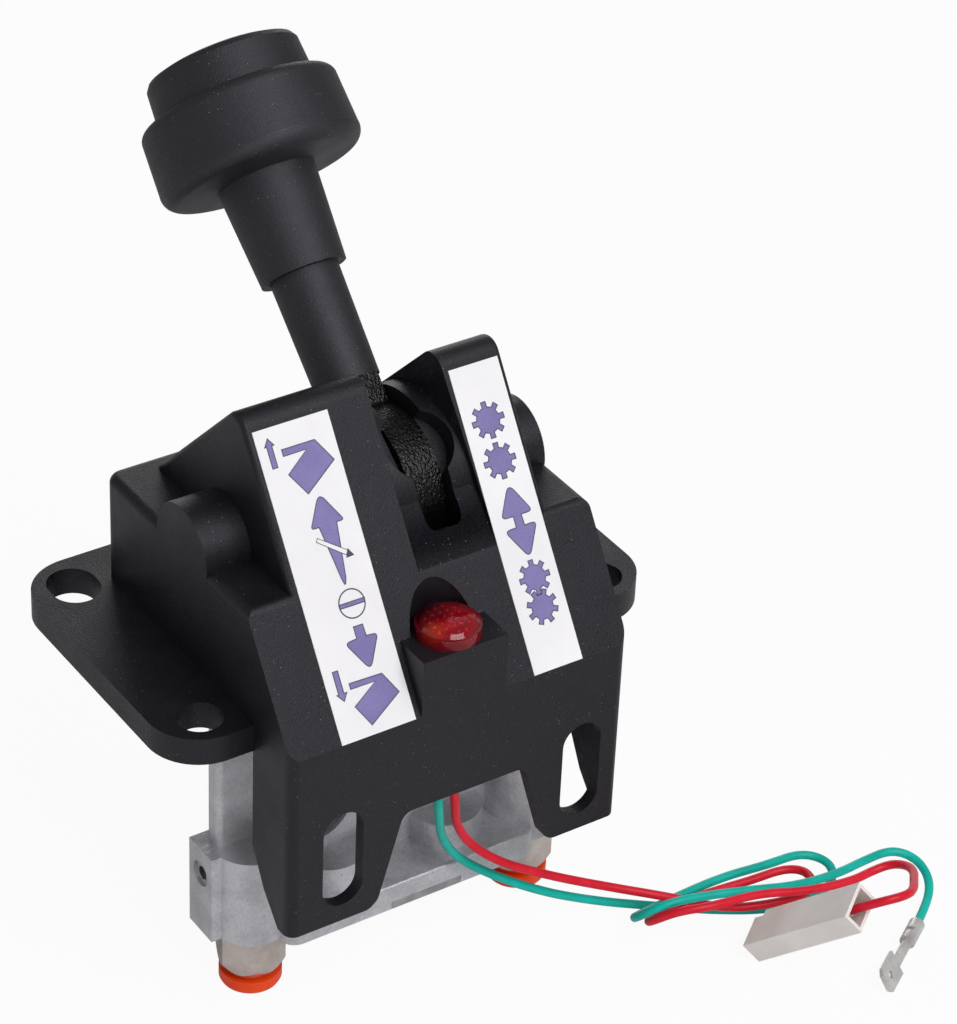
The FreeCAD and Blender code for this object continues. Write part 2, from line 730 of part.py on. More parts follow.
# Cast body with its column, base plate, port bosses and bores.
block = new_body("valve_body")
body_top = "flange_base - gasket_thick"
column = Outline(block, "ColumnPlan", "XY_Plane", "column_base")
column.polygon([
    ("-column_half", "-column_depth_half"),
    ("column_half", "-column_depth_half"),
    ("column_half", "-column_side"),
    ("column_rear_half", "column_depth_half"),
    ("-column_rear_half", "column_depth_half"),
    ("-column_half", "-column_side"),
])
pad(block, "Column", column, "%s - column_base" % body_top)
soften(block, "ColumnCorners", "column_corner", lambda e, c: straight_along(e, Z_AXIS))
middle_block = Outline(block, "MiddlePlan", "XY_Plane", "plate_base + plate_thick")
middle_block.polygon([
    ("-core_block_half", "-column_depth_half"),
    ("core_block_half", "-column_depth_half"),
    ("core_block_half", "-core_block_side"),
    ("core_block_waist", "-core_block_waist_ahead"),
    ("core_block_waist", "core_block_waist_behind"),
    ("core_block_rear_half", "column_depth_half"),
    ("-core_block_rear_half", "column_depth_half"),
    ("-core_block_waist", "core_block_waist_behind"),
    ("-core_block_waist", "-core_block_waist_ahead"),
    ("-core_block_half", "-core_block_side"),
])
pad(block, "Middle", middle_block, "column_base - plate_base - plate_thick")
plate = Outline(block, "PlatePlan", "XY_Plane", "plate_base")
plate.box("-plate_half", "-plate_front", "plate_half", "plate_back")
pad(block, "BasePlate", plate, "plate_thick")
soften(block, "PlateCorners", "plate_corner",
       lambda e, c: straight_along(e, Z_AXIS) and near(abs(c.x), size("plate_half"))
       and near(c.y, size("-plate_front")))
bosses = Outline(block, "PortBossPlan", "XY_Plane", "port_boss_base")
port_spots = [("-port_across", "-port_ahead"), ("port_across", "-port_ahead"),
              ("-rear_port_across", "rear_port_behind"), ("rear_port_across", "rear_port_behind")]
for across, ahead in port_spots:
    bosses.circle(across, ahead, "port_boss_radius")
pad(block, "PortBosses", bosses, "column_base - port_boss_base")
pads = Outline(block, "MiddleBossPlan", "XY_Plane", "plate_base + plate_thick - 1")
for side in ("-", ""):
    pads.circle(side + "middle_boss_across", "-middle_boss_ahead", "middle_boss_radius")
pad(block, "MiddleBosses", pads, "middle_boss_top - plate_base - plate_thick + 1")
tab = Outline(block, "EndTabPlan", "XY_Plane", "port_boss_base")
tab.box("-tab_face", "-tab_far", "-port_across", "-tab_near")
pad(block, "EndTab", tab, "column_base - port_boss_base")
ports = Outline(block, "PortPlan", "XY_Plane", "port_boss_base")
vents = Outline(block, "PassagePlan", "XY_Plane", "port_boss_base")
for across, ahead in port_spots:
    ports.circle(across, ahead, "port_bore")
    vents.circle(across, ahead, "passage_radius")
pocket(block, "PortBores", ports, "port_depth", True)
spots = Outline(block, "SpotFacePlan", "XY_Plane", "plate_base")
for across, ahead in port_spots:
    spots.circle(across, ahead, "fitting_radius + spot_gap")
pocket(block, "SpotFaces", spots, "port_boss_base - plate_base", True)
pocket(block, "PortPassages", vents, "passage_top - port_boss_base", True)
drill = Outline(block, "CrossDrillProfile", "YZ_Plane", "-tab_face")
drill.circle("-grub_ahead", "grub_height", "drilling_radius")
pocket(block, "CrossDrill", drill, "tab_face - port_across", True)
socket = Outline(block, "GrubBoreProfile", "YZ_Plane", "-tab_face")
socket.circle("-grub_ahead", "grub_height", "grub_radius")
pocket(block, "GrubBore", socket, "grub_length + 0.6", True)
bores = Outline(block, "PlungerBorePlan", "XY_Plane", body_top)
grooves = Outline(block, "SealGroovePlan", "XY_Plane", "seal_height")
plug_bores = Outline(block, "PlugBoreOutline", "XZ_Plane", "column_depth_half")
clip_grooves = Outline(block, "ClipGrooveOutline", "XZ_Plane", "column_depth_half - clip_depth")
chambers = Outline(block, "ChamberOutline", "XZ_Plane", "column_depth_half - plug_bore_depth")
screw_bores = Outline(block, "BodyScrewPlan", "XY_Plane", "column_base")
for side in ("-", ""):
    bores.circle(side + "plug_across", "0", "plunger_radius + run_gap")
    grooves.circle(side + "plug_across", "0", "seal_radius")
    plug_bores.circle(side + "plug_across", "plug_height", "plug_radius")
    clip_grooves.circle(side + "plug_across", "plug_height", "clip_radius")
    chambers.circle(side + "plug_across", "plug_height", "chamber_radius")
    screw_bores.circle(side + "screw_across", "-screw_ahead", "screw_radius + screw_gap")
pocket(block, "PlungerBores", bores, "%s - plunger_bore_bottom" % body_top)
pocket(block, "SealGrooves", grooves, "seal_thick", True)
pocket(block, "PlugBores", plug_bores, "plug_bore_depth")
pocket(block, "ClipGrooves", clip_grooves, "clip_thick")
pocket(block, "Chambers", chambers, "plug_bore_depth + 3")
pocket(block, "BodyScrewBores", screw_bores, "%s - column_base" % body_top, True)
cover_seat = Outline(block, "CoverSeatPlan", "XY_Plane", "plate_base")
cover_seat.box("-cover_left", "-plate_front", "cover_right", "cover_back")
pocket(block, "CoverSeat", cover_seat, "cover_thick", True)
cover_taps = Outline(block, "CoverTapPlan", "XY_Plane", "plate_base + cover_thick")
cover_middle = "(cover_right - cover_left) / 2"
cover_ends = ("-plate_front + 6", "cover_back - 5")
for spot in cover_ends:
    cover_taps.circle(cover_middle, spot, "cover_screw_radius")
pocket(block, "CoverTaps", cover_taps, "cover_screw_depth", True)
soften(block, "BodyEdges", "body_edge",
       lambda e, c: (near(c.z, size("plate_base + plate_thick")) and near(c.y, size("-plate_front")))
       or (near(c.z, size("plate_base + plate_thick")) and near(abs(c.x), size("plate_half"))))
nodes["valve_body"] = block

cover = new_body("bottom_cover")
cover_plan = Outline(cover, "CoverPlan", "XY_Plane", "plate_base")
cover_plan.box("-cover_left + cover_gap", "-plate_front", "cover_right - cover_gap", "cover_back - cover_gap")
for spot in cover_ends:
    cover_plan.circle(cover_middle, spot, "cover_screw_radius + 0.1")
pad(cover, "CoverPlate", cover_plan, "cover_thick")
nodes["bottom_cover"] = cover

cover_screws = new_body("cover_screws")
heads = Outline(cover_screws, "HeadPlan", "XY_Plane", "plate_base - 1.6")
shanks = Outline(cover_screws, "ShankPlan", "XY_Plane", "plate_base - 0.1")
for spot in cover_ends:
    heads.circle(cover_middle, spot, "cover_screw_radius * 1.9")
    shanks.circle(cover_middle, spot, "cover_screw_radius")
pad(cover_screws, "Heads", heads, "1.6")
pad(cover_screws, "Shanks", shanks, "cover_thick + cover_screw_depth - 0.4")
cross = Outline(cover_screws, "DrivePlan", "XY_Plane", "plate_base - 1.6")
for spot in cover_ends:
    cross.box("%s - 2" % cover_middle, "%s - 0.4" % spot, "%s + 2" % cover_middle, "%s + 0.4" % spot)
pocket(cover_screws, "Drives", cross, "0.8", True)
nodes["cover_screws"] = cover_screws


def hexagon(outline, across, ahead, flats):
    corner = "%s / 2 / cos(30)" % flats
    points = []
    for step in range(6):
        turn = "%d" % (30 + 60 * step)
        points.append(("%s + %s * cos(%s)" % (across, corner, turn),
                       "%s + %s * sin(%s)" % (ahead, corner, turn)))
    return outline.polygon(points)


# Two socket-head screws clamp the housing onto the body.
body_screws = new_body("body_screws")
heads = Outline(body_screws, "HeadPlan", "XY_Plane", "column_base")
shanks = Outline(body_screws, "ShankPlan", "XY_Plane", "column_base")
drives = Outline(body_screws, "DrivePlan", "XY_Plane", "column_base - screw_head_height")
for side in ("-", ""):
    heads.circle(side + "screw_across", "-screw_ahead", "screw_head_radius")
    shanks.circle(side + "screw_across", "-screw_ahead", "screw_radius")
    hexagon(drives, side + "screw_across", "-screw_ahead", "screw_socket * 2")
pad(body_screws, "Heads", heads, "screw_head_height", True)
pad(body_screws, "Shanks", shanks, "screw_tip - column_base")
pocket(body_screws, "Drives", drives, "screw_head_height / 2", True)
nodes["body_screws"] = body_screws

grub = new_body("side_grub_screw")
pad(grub, "Grub", Outline(grub, "GrubOutline", "YZ_Plane", "-tab_face + 0.6")
    .circle("-grub_ahead", "grub_height", "grub_radius"), "grub_length")
pocket(grub, "GrubSocket", hexagon(Outline(grub, "GrubSocketOutline", "YZ_Plane", "-tab_face + 0.6"),
                                   "-grub_ahead", "grub_height", "3"), "2", True)
nodes["side_grub_screw"] = grub

for side, sign in (("left", "-"), ("right", "")):
    plug = new_body("bore_plug_" + side)
    seat = "column_depth_half - clip_depth - clip_thick"
    pad(plug, "PlugDisc", Outline(plug, "PlugOutline", "XZ_Plane", seat)
        .circle(sign + "plug_across", "plug_height", "plug_radius"),
        "plug_bore_depth - clip_depth - clip_thick", True)
    pocket(plug, "PlugDish", Outline(plug, "DishOutline", "XZ_Plane", seat)
           .circle(sign + "plug_across", "plug_height", "plug_radius - 3"), "1.5")
    nodes["bore_plug_" + side] = plug
    clip = new_body("circlip_" + side)
    ring = Outline(clip, "ClipOutline", "XZ_Plane", "column_depth_half - clip_depth")
    ring.circle(sign + "plug_across", "plug_height", "clip_radius")
    ring.circle(sign + "plug_across", "plug_height", "clip_inner")
    pad(clip, "ClipRing", ring, "clip_thick", True)
    mouth = Outline(clip, "ClipMouthOutline", "XZ_Plane", "column_depth_half - clip_depth")
    mouth.box(sign + "plug_across - 2.2", "plug_height - clip_radius - 1",
              sign + "plug_across + 2.2", "plug_height - clip_inner + 2")
    pocket(clip, "ClipMouth", mouth, "clip_thick")
    nodes["circlip_" + side] = clip

# Push-in fittings: a pressed body, a seal and a release ring at each corner.
corners = ("front_left", "front_right", "rear_left", "rear_right")
for label, (across, ahead) in zip(corners, port_spots):
    name = "fitting_body_" + label
    fitting = turned(name, [
        ("ring_sleeve + run_gap", "fitting_low"),
        ("fitting_low_radius", "fitting_low"),
        ("fitting_radius", "fitting_cone_top"),
        ("fitting_radius", "port_boss_base"),
        ("port_bore", "port_boss_base"),
        ("port_bore", "port_boss_base + port_depth"),
        ("passage_radius", "port_boss_base + port_depth"),
        ("passage_radius", "tube_stop"),
        ("tube_radius", "tube_stop"),
        ("tube_radius", "tube_seal_base + tube_seal_thick"),
        ("tube_seal_radius", "tube_seal_base + tube_seal_thick"),
        ("tube_seal_radius", "tube_seal_base"),
        ("tube_radius", "tube_seal_base"),
        ("tube_radius", "ring_seat"),
        ("ring_sleeve + run_gap", "ring_seat"),
    ])
    flats = Outline(fitting, "FlatsPlan", "XY_Plane", "fitting_low")
    flats.circle("0", "0", "fitting_radius + 2")
    hexagon(flats, "0", "0", "fitting_flats")
    pocket(fitting, "Flats", flats, "port_boss_base - fitting_low", True)
    place(fitting, across, ahead, "0", Z_AXIS, "fitting_turn")
    nodes[name] = fitting

    name = "release_ring_" + label
    ring = turned(name, [
        ("tube_radius + 0.6", "0"),
        ("ring_radius - ring_round", "0"),
        ("ring_radius - ring_round * 0.35", "ring_round * 0.3"),
        ("ring_radius", "ring_round"),
        ("ring_radius", "ring_height"),
        ("ring_sleeve", "ring_height"),
        ("ring_sleeve", "ring_seat"),
        ("tube_radius", "ring_seat"),
        ("tube_radius", "0.6"),
    ])
    place(ring, across, ahead)
    nodes[name] = ring

    name = "tube_seal_" + label
    seal = turned(name, [
        ("tube_radius - 0.05", "tube_seal_base + 0.6"),
        ("tube_radius + 0.3", "tube_seal_base"),
        ("tube_seal_radius", "tube_seal_base"),
        ("tube_seal_radius", "tube_seal_base + tube_seal_thick"),
        ("tube_radius + 0.3", "tube_seal_base + tube_seal_thick"),
        ("tube_radius - 0.05", "tube_seal_base + tube_seal_thick - 0.6"),
    ])
    place(seal, across, ahead)
    nodes[name] = seal

# Lever: hub and neck, shaft, pivot pin, cams and the fixed cap.
hub = new_body("lever_hub")
pad(hub, "HubDisc", Outline(hub, "HubOutline", "YZ_Plane", "-hub_thick / 2")
    .circle("0", "0", "hub_radius"), "hub_thick")
neck = Outline(hub, "NeckOutline", "YZ_Plane", "-hub_thick / 2")
neck.box("-neck_width / 2", "0", "neck_width / 2", "neck_length")
pad(hub, "Neck", neck, "hub_thick")
pocket(hub, "PinHole", Outline(hub, "PinHoleOutline", "YZ_Plane", "-hub_thick / 2")
       .circle("0", "0", "pin_radius"), "hub_thick", True)
pocket(hub, "RodBore", Outline(hub, "RodBorePlan", "XY_Plane", "neck_length")
       .circle("0", "0", "rod_radius + run_gap"), "neck_length - rod_bottom + 0.3")
place(hub, "lever_offset", "0", "pivot_height", X_AXIS, "-rest_tilt")
nodes["lever_hub"] = hub

shaft = turned("lever_shaft", [
    ("rod_radius + run_gap", "neck_length"),
    ("shaft_low_radius", "neck_length"),
    ("shaft_radius", "sleeve_bottom"),
    ("shaft_radius", "shaft_step"),
    ("shaft_core", "shaft_step"),
    ("shaft_core", "shaft_top"),
    ("0", "shaft_top"),
    ("0", "rod_top + collar_lift + 1"),
    ("rod_radius + run_gap", "rod_top + collar_lift + 1"),
])
window = Outline(shaft, "PinSlotOutline", "YZ_Plane", "-shaft_radius - 1")
window.box("-cross_pin_radius - run_gap", "cross_pin_height - cross_pin_radius - run_gap",
           "cross_pin_radius + run_gap",
           "cross_pin_height + cross_pin_radius + collar_lift + 0.2")
pocket(shaft, "PinSlot", window, "2 * shaft_radius + 2", True)
place(shaft, "lever_offset", "0", "pivot_height", X_AXIS, "-rest_tilt")
nodes["lever_shaft"] = shaft

cap = turned("knob_cap", [
    ("shaft_core", "cap_bottom"),
    ("cap_low_radius", "cap_bottom"),
    ("cap_high_radius", "cap_shoulder - 1.8"),
    ("cap_high_radius - 0.8", "cap_shoulder - 0.6"),
    ("cap_high_radius - 2.6", "cap_shoulder"),
    ("cap_high_radius - 9", "cap_top - 0.2"),
    ("0", "cap_top"),
    ("0", "shaft_top"),
    ("shaft_core", "shaft_top"),
])
place(cap, "lever_offset", "0", "pivot_height", X_AXIS, "-rest_tilt")
nodes["knob_cap"] = cap

collar = turned("lift_collar", [
    ("shaft_radius + run_gap", "sleeve_bottom"),
    ("sleeve_low_radius", "sleeve_bottom"),
    ("sleeve_high_radius", "collar_bottom - 0.6"),
    ("collar_low_radius", "collar_bottom"),
    ("collar_high_radius", "collar_top"),
    ("recess_radius", "collar_top"),
    ("recess_radius", "recess_floor"),
    ("spring_pocket", "recess_floor"),
    ("spring_pocket", "spring_floor"),
    ("shaft_core + run_gap", "spring_floor"),
    ("shaft_core + run_gap", "shaft_step"),
    ("shaft_radius + run_gap", "shaft_step"),
])
soften(collar, "CollarLowEdge", "collar_low_round",
       lambda e, c: near(e.BoundBox.XMax, size("collar_low_radius")) and e.BoundBox.ZLength < 0.01)
soften(collar, "CollarTopEdge", "collar_top_round",
       lambda e, c: near(e.BoundBox.XMax, size("collar_high_radius")) and e.BoundBox.ZLength < 0.01)
pocket(collar, "CrossPinHole", Outline(collar, "CrossPinOutline", "YZ_Plane", "-cross_pin_half")
       .circle("0", "cross_pin_height", "cross_pin_radius"), "2 * cross_pin_half", True)
mark = Outline(collar, "MouldMarkOutline", "YZ_Plane", "collar_low_radius - 2")
mark.circle("0", "(collar_bottom + collar_top) / 2 + 2", "mould_mark")
pad(collar, "MouldMark", mark, "2.3")
place(collar, "lever_offset", "0", "pivot_height", X_AXIS, "-rest_tilt")
nodes["lift_collar"] = collar

rod = new_body("lock_rod")
pad(rod, "Rod", Outline(rod, "RodPlan", "XY_Plane", "rod_bottom").circle("0", "0", "rod_radius"),
    "rod_top - rod_bottom")
pocket(rod, "RodHole", Outline(rod, "RodHoleOutline", "YZ_Plane", "-rod_radius - 1")
       .circle("0", "cross_pin_height", "cross_pin_radius"), "2 * rod_radius + 2", True)
place(rod, "lever_offset", "0", "pivot_height", X_AXIS, "-rest_tilt")
nodes["lock_rod"] = rod

cross_pin = new_body("cross_pin")
pad(cross_pin, "CrossPin", Outline(cross_pin, "PinOutline", "YZ_Plane", "-cross_pin_half")
    .circle("0", "cross_pin_height", "cross_pin_radius"), "2 * cross_pin_half")
place(cross_pin, "lever_offset", "0", "pivot_height", X_AXIS, "-rest_tilt")
nodes["cross_pin"] = cross_pin

pivot = new_body("pivot_pin")
pad(pivot, "Pin", Outline(pivot, "PinOutline", "YZ_Plane", "-bush_outer_end + 0.3")
    .circle("0", "0", "pin_radius"), "2 * bush_outer_end - 0.6")
place(pivot, "0", "0", "pivot_height")
nodes["pivot_pin"] = pivot

for side, start in (("left", "-bush_outer_end"), ("right", "bush_inner_end")):
    bush = new_body("pivot_bush_" + side)
    ring = Outline(bush, "BushOutline", "YZ_Plane", start)
    ring.circle("0", "pivot_height", "bush_radius")
    ring.circle("0", "pivot_height", "pin_radius + run_gap")
    pad(bush, "Bush", ring, "bush_outer_end - bush_inner_end")
    nodes["pivot_bush_" + side] = bush


def cam_outline(rising):
    """Points (y, z) of a cam whose flat follower moves in step with the lever angle."""
    base, lift = size("cam_base"), size("cam_lift")
    travel = math.radians(size("cam_travel"))
    points = []
    steps = 12
    for i in range(steps + 1):
        turn = travel * i / steps
        reach = base + lift * (turn if rising else travel - turn)
        slope = -lift if rising else lift
        heading = -math.pi / 2 - turn
        along = V(0, math.cos(heading), math.sin(heading))
        beside = V(0, -math.sin(heading), math.cos(heading))
        points.append(along * reach + beside * slope)
    return points


def make_cam(name, rising, across):
    points = cam_outline(rising)
    active = Part.BSplineCurve()
    active.interpolate(points)
    rest = size("cam_base") - 0.4
    far = V(0, rest * math.cos(math.radians(30)), rest * math.sin(math.radians(30)))
    closing = Part.Arc(points[-1], far, points[0])
    face = Part.Face(Part.Wire([active.toShape(), closing.toShape()]))
    thick = size("cam_thick")
    solid = face.extrude(V(thick, 0, 0))
    solid.translate(V(-thick / 2, 0, 0))
    bore = Part.makeCylinder(size("pin_radius"), thick, V(-thick / 2, 0, 0), X_AXIS)
    cam = doc.addObject("Part::Feature", name)
    cam.Label = name
    cam.Shape = solid.cut(bore)
    place(cam, across, "0", "pivot_height")
    nodes[name] = cam


make_cam("tipping_cam", True, "-plug_across")
make_cam("pto_cam", False, "plug_across")

for label, sign, reach in (("tipping", "-", "cam_base"),
                           ("pto", "", "cam_base + cam_lift * cam_travel * pi / 180")):
    head = "(pivot_height - (%s) - contact_gap)" % reach
    plunger = turned(label + "_plunger", [
        ("0", "plunger_bottom"),
        ("plunger_radius - 0.5", "plunger_bottom"),
        ("plunger_radius", "plunger_bottom + 0.5"),
        ("plunger_radius", head + " - plunger_head - plunger_flange_thick"),
        ("plunger_flange_radius", head + " - plunger_head - plunger_flange_thick"),
        ("plunger_flange_radius", head + " - plunger_head"),
        ("plunger_radius", head + " - plunger_head"),
        ("plunger_radius", head),
        ("0", head),
    ])
    place(plunger, sign + "plug_across")
    nodes[label + "_plunger"] = plunger
    seal = turned(label + "_plunger_seal", [
        ("plunger_radius + 0.02", "seal_height + 0.6"),
        ("plunger_radius + 0.6", "seal_height"),
        ("seal_radius", "seal_height"),
        ("seal_radius", "seal_height + seal_thick"),
        ("plunger_radius + 0.6", "seal_height + seal_thick"),
        ("plunger_radius + 0.02", "seal_height + seal_thick - 0.6"),
    ])
    place(seal, sign + "plug_across")
    nodes[label + "_plunger_seal"] = seal


def coil(name, radius, wire, turns, low, high, across, ahead, height, tilt):
    """A square-wire compression spring with eight straight runs per turn."""
    mean, half = size(radius), size(wire) / 2
    count = int(round(size(turns) * 8))
    bottom = size(low) + half + size("spring_seat_gap")
    top = size(high) - half - size("spring_seat_gap")
    spots = []
    for i in range(count + 1):
        turn = 2 * math.pi * i / 8
        spots.append(V(mean * math.cos(turn), mean * math.sin(turn), bottom + (top - bottom) * i / count))
    path = Part.makePolygon(spots)
    corners = [(-half, -half), (half, -half), (half, half), (-half, half), (-half, -half)]
    profile = Part.makePolygon([spots[0] + V(a, 0, b) for a, b in corners])
    solid = path.makePipeShell([profile], True, False, 1)
    spring = doc.addObject("Part::Feature", name)
    spring.Label = name
    spring.Shape = solid
    if tilt is None:
        place(spring, across, ahead, height)
    else:
        place(spring, across, ahead, height, X_AXIS, tilt)
    nodes[name] = spring


coil("lock_spring", "lock_spring_radius", "lock_spring_wire", "lock_spring_turns",
     "spring_floor", "cap_bottom", "lever_offset", "0", "pivot_height", "-rest_tilt")
tip_head = "pivot_height - cam_base - contact_gap - plunger_head - plunger_flange_thick"
coil("tipping_spring", "return_spring_radius", "return_spring_wire", "return_spring_turns",
     "flange_base - gasket_thick", tip_head, "-plug_across", "0", "0", None)
coil("pto_spring", "return_spring_radius", "return_spring_wire", "return_spring_turns",
     "flange_base - gasket_thick", tip_head + " - cam_lift * cam_travel * pi / 180",
     "plug_across", "0", "0", None)

# Pilot lamp in its pedestal.
lens = turned("lamp_lens", [
    ("lens_inner", "0"),
    ("lens_radius", "0"),
    ("lens_radius", "lens_rim"),
    ("lens_dome_radius", "lens_rim"),
    ("lens_dome_radius * 0.88", "lens_rim + (lens_crown - lens_rim) * 0.52"),
    ("lens_dome_radius * 0.6", "lens_rim + (lens_crown - lens_rim) * 0.82"),
    ("0", "lens_crown"),
    ("0", "lens_crown - lens_skin"),
    ("lens_inner * 0.6", "lens_crown - lens_skin - 0.4"),
    ("lens_inner", "lens_rim - 0.6"),
])
place(lens, "0", "-lens_ahead", "pedestal_top")
nodes["lamp_lens"] = lens
lamp = turned("lamp_body", [
    ("0", "lamp_bottom"),
    ("lamp_neck", "lamp_bottom"),
    ("lamp_neck", "lamp_neck_top"),
    ("lamp_stem", "lamp_neck_top + 1"),
    ("lamp_stem", "pedestal_top"),
    ("lens_inner", "pedestal_top"),
    ("lens_inner", "pedestal_top + lamp_flange_thick"),
    ("bulb_radius", "pedestal_top + lamp_flange_thick"),
    ("bulb_radius", "bulb_low"),
    ("0", "bulb_low"),
])
place(lamp, "0", "-lens_ahead")
nodes["lamp_body"] = lamp
nut = new_body("lamp_nut")
nut_plan = Outline(nut, "NutPlan", "XY_Plane", "pedestal_top - lamp_wall - lamp_nut_height")
hexagon(nut_plan, "0", "0", "lamp_nut_flats")
nut_plan.circle("0", "0", "lamp_stem")
pad(nut, "Nut", nut_plan, "lamp_nut_height")
place(nut, "0", "-lens_ahead")
nodes["lamp_nut"] = nut
bulb = turned("lamp_bulb", [
    ("0", "bulb_low"),
    ("bulb_radius", "bulb_low"),
    ("bulb_radius", "bulb_high - 1"),
    ("bulb_radius * 0.6", "bulb_high - 0.3"),
    ("0", "bulb_high"),
])
place(bulb, "0", "-lens_ahead")
nodes["lamp_bulb"] = bulb

# Printed strips on the two ridges, lying on the front slope.
for side, inner, outer in (("left", "-decal_left_outer", "-decal_left_inner"),
                           ("right", "decal_right_inner", "decal_right_outer")):
    strip = new_body("decal_" + side)
    face = Outline(strip, "StripOutline", "XY_Plane", tilt=(
        "0", "-skirt_front", "crease_height", X_AXIS, "slope_angle"))
    face.box(inner, "decal_start", outer, "decal_start + decal_length")
    pad(strip, "Strip", face, "decal_thick")
    nodes["decal_" + side] = strip

# Lamp leads: limp insulated wires that drop behind the skirt and lie folded in front of it.
# Each route is the list of corner points that the wire rounds off.
green_route = [
    (-1.3, -37.2, 71.0), (-1.3, -37.2, 60.0), (-1.2, -38.1, 47.5), (4.4, -31.5, 31.0),
    (11.9, -31.4, 21.0), (26.8, -36.6, 11.0), (41.3, -40.4, 4.2), (53.3, -45.3, 1.05),
    (63.9, -53.7, 1.0), (74.9, -60.8, 1.0), (85.6, -63.6, 1.0), (93.6, -62.0, 1.2),
    (97.6, -55.4, 1.8), (93.0, -48.6, 2.8), (82.6, -48.2, 3.6), (71.9, -47.0, 4.2),
    (60.0, -47.5, 4.4), (45.0, -48.7, 4.5), (41.5, -53.9, 9.6), (46.1, -58.3, 14.6),
    (53.7, -59.2, 14.0), (66.2, -61.6, 12.4), (78.7, -63.8, 10.0), (90.6, -63.6, 8.2),
    (99.4, -62.4, 7.2), (107.3, -62.0, 6.6), (111.3, -64.8, 6.0), (112.8, -69.2, 5.2),
    (110.9, -74.3, 4.0), (104.4, -79.1, 2.95), (97.6, -83.5, 2.95),
]
red_route = [
    (1.5, -37.2, 71.0), (1.5, -37.2, 62.0), (3.2, -37.7, 48.5), (7.0, -33.4, 34.0),
    (14.8, -36.4, 24.5), (29.7, -39.7, 16.0), (44.3, -43.8, 9.6), (55.0, -49.9, 6.9),
    (63.8, -59.1, 6.6), (75.6, -62.8, 6.4), (84.0, -64.0, 6.2), (88.7, -60.8, 5.8),
    (89.3, -55.1, 5.2), (85.2, -51.0, 4.6), (76.2, -50.4, 4.3), (68.3, -50.3, 4.3),
    (59.6, -50.7, 4.5), (45.4, -52.6, 4.7), (42.1, -57.5, 9.5), (46.5, -61.7, 14.2),
    (53.8, -64.6, 15.0), (67.3, -64.4, 13.2), (78.9, -67.5, 11.2), (91.1, -68.7, 9.8),
    (98.6, -68.0, 9.6), (103.4, -69.6, 10.8), (105.3, -73.9, 12.8), (103.5, -79.2, 15.6),
    (97.5, -85.4, 20.0), (90.8, -91.0, 24.0), (83.6, -94.9, 27.6), (76.6, -92.6, 26.75),
    (73.73, -85.31, 19.94),
]


def make_wire(name, route):
    """A round tube of straight runs joined by tangent arcs."""
    radius = size("wire_radius")
    spots = [V(*spot) for spot in route]
    edges = []
    bends = []
    start = spots[0]
    for before, corner, after in zip(spots, spots[1:], spots[2:]):
        back = before - corner
        ahead = after - corner
        turn = math.pi - back.getAngle(ahead)
        reach = 0.45 * min(back.Length, ahead.Length)
        bend = reach / math.tan(turn / 2)
        bends.append(bend)
        back.normalize()
        ahead.normalize()
        entry = corner + back * reach
        leave = corner + ahead * reach
        inward = back + ahead
        inward.normalize()
        middle = corner + inward * (bend / math.cos(turn / 2) - bend)
        edges.append(Part.makeLine(start, entry))
        edges.append(Part.Arc(entry, middle, leave).toShape())
        start = leave
    edges.append(Part.makeLine(start, spots[-1]))
    path = Part.Wire(edges)
    heading = spots[1] - spots[0]
    section = Part.Face(Part.Wire([Part.makeCircle(radius, spots[0], heading)]))
    tube = path.makePipe(section)
    wire = doc.addObject("Part::Feature", name)
    wire.Label = name
    wire.Shape = tube
    place(wire)
    nodes[name] = wire
    plain = math.pi * radius ** 2 * path.Length
    print("%s length %.1f mm, volume %.1f of %.1f, bend radii %s" % (
        name, path.Length, tube.Volume, plain, " ".join("%.1f" % bend for bend in bends)))


make_wire("wire_green", green_route)
make_wire("wire_red", red_route)


def lay(item, across, ahead, height, yaw, pitch, roll):
    turn = FreeCAD.Rotation(size(yaw), size(pitch), size(roll))
    item.Placement = FreeCAD.Placement(V(across, ahead - size(MIDDLE), height), turn)


shell = new_body("connector_housing")
case = Outline(shell, "CaseOutline", "YZ_Plane", "0")
case.box("0", "0", "connector_depth", "connector_width")
pad(shell, "Case", case, "connector_length")
nose = Outline(shell, "NoseOutline", "YZ_Plane", "0")
nose.box("-0.5", "connector_width - 1.6", "connector_depth + 0.5", "connector_width + 0.5")
pocket(shell, "NoseStep", nose, "2.6", True)
mouth = Outline(shell, "MouthOutline", "YZ_Plane", "connector_length")
mouth.box("connector_wall", "connector_wall", "connector_depth - connector_wall",
          "connector_width - connector_wall")
pocket(shell, "Mouth", mouth, "connector_mouth")
jaws = Outline(shell, "JawOutline", "YZ_Plane", "0")
jaws.box("connector_wall", "connector_wall", "connector_depth - connector_wall",
         "connector_width / 2 - connector_wall / 2")
jaws.box("connector_wall", "connector_width / 2 + connector_wall / 2",
         "connector_depth - connector_wall", "connector_width - 1.6 - connector_wall / 2")
pocket(shell, "Jaws", jaws, "connector_nose", True)
lay(shell, 61.04, -68.79, 4.05, "connector_yaw", "connector_pitch", "connector_roll")
nodes["connector_housing"] = shell

